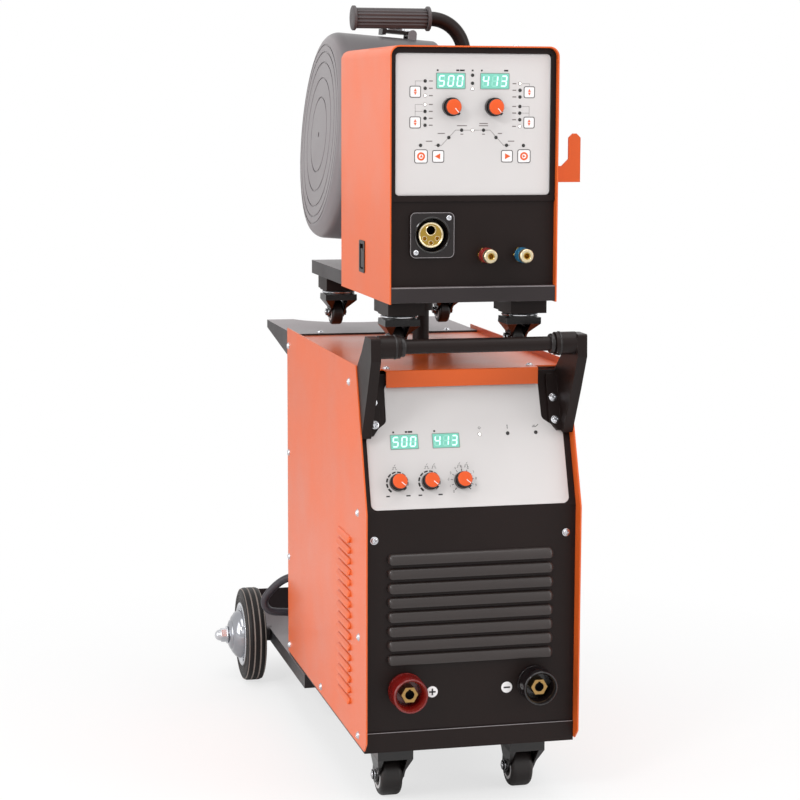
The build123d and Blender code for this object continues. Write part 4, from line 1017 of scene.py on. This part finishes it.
# ==== wheels
for word, sign in (("left", -1), ("right", 1)):
    body = f"{word}_rear_wheel"
    rim_low, rim_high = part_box(f"{word}_rim")
    centre = (rim_low + rim_high) / 2
    hub = side_face((rim_high.x if sign > 0 else rim_low.x, centre.y, centre.z), sign)
    tyre_low, tyre_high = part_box(f"{word}_tyre")
    outside = tyre_high.x if sign > 0 else tyre_low.x
    edge = hub.find((outside, centre.y, centre.z))[2]
    spun(f"{word}_hub_dish", body, "chrome", hub, [
        (8.3, 0.8), (12.6, 0.8), (13.6, 0.2), (14.2, -0.8), (20, -2.6), (24.5, -4.6), (26, -6.8),
        (28.2, -7), (31.5, -8.8), (34, -11), (37.4, -13.4), (40.2, edge + 7), (41.2, edge + 4),
        (41.2, edge - 2)
    ], 96)
    spun(f"{word}_rim_face", body, "fork", hub, [
        (40.5, edge - 3), (44, edge - 4.6), (48.5, edge - 3.6), (50.2, edge + 0.4),
        (50.8, edge + 0.8)
    ], 96)
    spun(f"{word}_rim_ring", body, "zinc", hub, [
        (50.6, edge + 0.4), (51.2, edge + 1.4), (53.4, edge + 1.4), (54.6, edge + 0.5),
        (54.6, edge - 3)
    ], 96)
    bm, dark = bmesh.new(), bmesh.new()
    for i in range(8):
        a = radians(45 * i + 10)
        spot = hub.at(45.6 * cos(a), 45.6 * sin(a), edge - 3.4)
        tangent = hub.across * -sin(a) + hub.up * cos(a)
        slot_face = Face(spot, tangent, -(hub.across * cos(a) + hub.up * sin(a)))
        band(bm, slot_face, rounded(0, 0, 19, 7.2, 3.4), rounded(0, 0, 16.6, 4.8, 2.3), -1, 1.2)
        # near-black sheets in the rim slots: painted shade seen through the slots
        prism(dark, slot_face, rounded(0, 0, 16.8, 5, 2.3), -1, 0.35)
    place(f"{word}_rim_slots", bm, body, "zinc", bevel=0.3)
    place(f"{word}_rim_slot_wells", dark, body, "cavity")
    wall = side_face((outside, centre.y, centre.z), sign)
    bm = bmesh.new()
    for radius in (59.5, 63.5, 68.5):
        turned(bm, wall, [(radius - 0.8, -0.4), (radius - 0.4, 0.5), (radius + 0.4, 0.5),
                          (radius + 0.8, -0.4)], 96)
    place(f"{word}_tyre_rings", bm, body, "tyre")
    width = (tyre_high.x - tyre_low.x) / MM
    # pale lines on the tread ribs: painted highlights where the light catches them
    bm = bmesh.new()
    for across in (-width + 3.4, -width / 2 - 5, -width / 2 + 5, -3.4):
        reach = 79.5 if abs(across + width / 2) < 6 else 78.3
        turned(bm, wall, [(reach - 3, across - 1.5), (reach, across - 1.4), (reach, across + 1.4),
                          (reach - 3, across + 1.5)], 128)
    place(f"{word}_tread_highlights", bm, body, "tread_highlight")

for node_name in [n for n in nodes if n.endswith("_wheel")]:
    low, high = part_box(node_name)
    centre = (low + high) / 2
    radius = (high.z - low.z) / 2 / MM
    width = (high.x - low.x) / MM
    stem = node_name[:-len("_wheel")]
    bm = bmesh.new()
    for sign in (-1, 1):
        cheek = side_face(centre, sign)
        edge = width / 2
        turned(bm, cheek, [
            (radius * 0.66, edge - 1.6), (radius * 0.68, edge - 0.7), (radius * 0.62, edge - 0.35),
            (radius * 0.55, edge - 0.5), (radius * 0.5, edge - 1.6)
        ], 64)
    place(f"{stem}_wheel_rims", bm, node_name, "pale")
    fork_low, fork_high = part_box(f"{stem}_fork")
    big = radius > 25
    bm = bmesh.new()
    gap, leg, nut_height = 0.4, 3 if big else 2.5, 3.4
    r = 6.2 if big else 5
    for sign in (-1, 1):
        x = centre.x + sign * (width / 2 + gap + leg + nut_height) * MM
        cap = side_face((x, centre.y, centre.z), sign)
        turned(bm, cap, [(r + 1.4, -3.3), (r + 1.4, -2.5), (r + 1, -2.3), (r - 0.4, -2.3)], 32)
        prism(bm, cap, circle(0, 0, r, 6), -2.6, 0.2)
        turned(bm, cap, [(r * 0.6, 0.1), (r * 0.58, 1), (r * 0.4, 1.5), (0, 1.6)], 24)
    place(f"{stem}_axle_nuts", bm, f"{stem}_fork", "zinc", bevel=0.3)
    bm = bmesh.new()
    r = 26 if big else 25
    race = top_face(((fork_low.x + fork_high.x) / 2, fork_low.y + r * MM, fork_high.z))
    turned(bm, race, [
        (r - 1.5, -3.4), (r + 0.9, -3), (r + 1.3, -2), (r + 0.9, -1), (r - 1.5, -0.6)
    ], 64, closed=True)
    place(f"{stem}_race_ring", bm, f"{stem}_fork", "zinc")

# ==== mount bolts of the plates
bm = bmesh.new()
inset, plate_rise = 5.5 * MM, 2 * MM
for spot in islands("front_caster_plates"):
    low, high = extent(spot)
    plate, half = (low + high) / 2, (high - low) / 2
    for sx in (-1, 1):
        for sy in (-1, 1):
            x, y = plate.x + sx * (half.x - inset), plate.y + sy * (half.y - inset)
            under = Face((x, y, high.z - plate_rise), (1, 0, 0), (0, -1, 0))
            turned(bm, under, [(4.6, 0), (4.6, 0.8), (4, 0.9)], 24)
            prism(bm, under, circle(0, 0, 3.8, 6), 0.8, 3.6)
place("front_caster_bolts", bm, "base", "zinc", bevel=0.3)

# ==== wire on the spool
tilt = radians(4.6)      # lean of the drum's axis
spool_face = Face(middle("wire_spool"), (0, -1, 0), (sin(tilt), 0, cos(tilt)))
half_width, core, valley, crest, turns = 47, 131.5, 138, 139.1, 38
pitch = 2 * half_width / turns
bm = bmesh.new()
profile = [(core, -half_width)]
for i in range(turns):
    start = -half_width + pitch * i
    profile += [(valley, start + 0.2), (crest, start + pitch / 2), (valley, start + pitch - 0.2)]
profile.append((core, half_width))
turned(bm, spool_face, profile, 128, closed=True)
place("wire_winding", bm, "wire_spool", "copper")

# ==== mains cable ends
cable_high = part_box("mains_cable")[1]
gland = rear.shifted(118, 214)
bm = bmesh.new()
prism(bm, gland, circle(0, 0, 15.5, 6), 0, 6)
turned(bm, gland, [
    (11, 5.8), (12.5, 6.5), (12.5, 11), (11.4, 14), (9.5, 19), (7, 21), (6.6, 21)
], 64, flutes=16, flute_depth=0.5)
place("cable_gland", bm, "base", "pale", bevel=0.4)
bm = bmesh.new()
tray_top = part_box("cart_tray")[0].z + 22 * MM
cable_end_y = cable_high.y - 6.5 * MM     # the cable is 13 mm thick
rings = []
for reach, radius, squash in (
    (-4, 7.4, 1), (0, 8.6, 1), (10, 9.2, 1), (22, 10.5, 1), (27, 15, 0.95), (33, 18.5, 0.9),
    (52, 19.5, 0.9), (66, 18.8, 0.9), (70, 17, 0.88)
):
    x = cable_high.x + reach * MM
    z = tray_top + radius * squash * MM + 0.5 * MM
    rings.append([
        bm.verts.new((x, cable_end_y + radius * cos(a) * MM, z + radius * squash * sin(a) * MM))
        for a in [2 * pi * k / 40 for k in range(40)]
    ])
for first, second in zip(rings, rings[1:]):
    bridge(bm, first, second)
bm.faces.new(rings[0][::-1])
bm.faces.new(rings[-1])
place("mains_plug_body", bm, "base", "plastic", sharp=50)
bm = bmesh.new()
plug_end = side_face((cable_high.x + 70 * MM, cable_end_y, tray_top + 16 * MM), 1)
for y, z in ((-7, -4), (7, -4), (0, 7)):
    turned(bm, plug_end.shifted(y, z), [(2.5, -1), (2.5, 17), (1.6, 18.4), (0, 18.6)], 24)
place("mains_plug_pins", bm, "base", "brass")

# ==== draw latch on the drum
latch_low, latch_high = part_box("cover_latch")
lever = Face(
    ((latch_low.x + latch_high.x) / 2, (latch_low.y + latch_high.y) / 2, latch_high.z),
    (0, 1, 0), (-cos(tilt), 0, sin(tilt)),
)
bm = bmesh.new()
band(bm, lever, rounded(0, 4, 20, 30, 5), rounded(0, 4, 15, 25, 3), -3.4, 0.4)
for side in (-1, 1):
    turned(bm, lever.shifted(side * 6, -18), [(2.6, -4), (2.6, -1.6), (1.8, -0.8), (0, -0.6)], 24)
place("latch_bail", bm, "cover_latch", "zinc", bevel=0.5)

# ==== setting
bpy.ops.mesh.primitive_plane_add(size=40, location=(0, 0, 0))
floor = bpy.context.object
floor.name = "floor"
# the floor fades to the white of the world away from the object
s = Shader("pale_floor")
pale = s.mix(s.noise(3), (0.93, 0.93, 0.93, 1), (0.95, 0.95, 0.95, 1))
s.fill(s.surface, {"Base Color": pale, "Roughness": 0.6, "Specular IOR Level": 0.1})
glow = s.node("ShaderNodeEmission", {"Color": (1, 1, 1, 1), "Strength": 1}).outputs[0]
reach = s.node("ShaderNodeVectorMath", {0: s.place}, operation="LENGTH").outputs["Value"]
fade = s.remap(reach, 0.35, 1.1, 0.68, 1)
seen = s.node("ShaderNodeLightPath").outputs["Is Camera Ray"]
blend = s.node("ShaderNodeMixShader", {
    0: s.math("MULTIPLY", fade, seen), 1: s.surface.outputs[0], 2: glow
})
s.feed(s.tree.nodes["Material Output"].inputs["Surface"], blend.outputs[0])
floor.data.materials.append(s.material)

# white to the camera and in reflections, half as bright for the light it sheds
world = bpy.data.worlds.new("studio")
bpy.context.scene.world = world
studio = Nodes(world)
backdrop = world.node_tree.nodes["Background"]
backdrop.inputs["Color"].default_value = (1, 1, 1, 1)
rays = studio.node("ShaderNodeLightPath").outputs
direct = studio.math("MAXIMUM", rays["Is Camera Ray"], rays["Is Glossy Ray"])
studio.feed(backdrop.inputs["Strength"], studio.remap(direct, 0, 1, 0.5, 1))

centre = (cad_low + cad_high) / 2
# name, place, width and height in metres, and power in watts
for name, spot, width, height, watts in (
    ("left_softbox", (-3.2, -0.6, 1.6), 2.2, 2.6, 42),
    ("right_softbox", (2.6, -2.2, 1.8), 1.6, 2.2, 28),
    ("top_softbox", (0.2, -0.8, 3.4), 2.6, 2.6, 45),
    ("front_softbox", (-1.2, -4.2, 2.2), 2.4, 1.6, 12),
    ("key_softbox", (-2.2, -2.6, 2.6), 0.7, 0.7, 34)
):
    light = bpy.data.lights.new(name, "AREA")
    light.shape = "RECTANGLE"
    light.size, light.size_y = width, height
    light.energy = watts
    softbox = add(name, light)
    softbox.location = spot
    softbox.rotation_euler = (centre - Vector(spot)).to_track_quat("-Z", "Y").to_euler()

lens = bpy.data.cameras.new("camera")
lens.sensor_width = 36
lens.lens = 95.89
camera = add("camera", lens)
camera.location = (-0.7803, -3.2427, 0.9881)
pan, down, roll = (radians(a) for a in (-13.5, 7.82, 0.18))
camera.rotation_euler = (
    Matrix.Rotation(pan, 3, "Z")
    @ Matrix.Rotation(pi / 2 - down, 3, "X")
    @ Matrix.Rotation(roll, 3, "Z")
).to_euler()
bpy.context.scene.camera = camera
bpy.context.scene.view_settings.view_transform = "Standard"
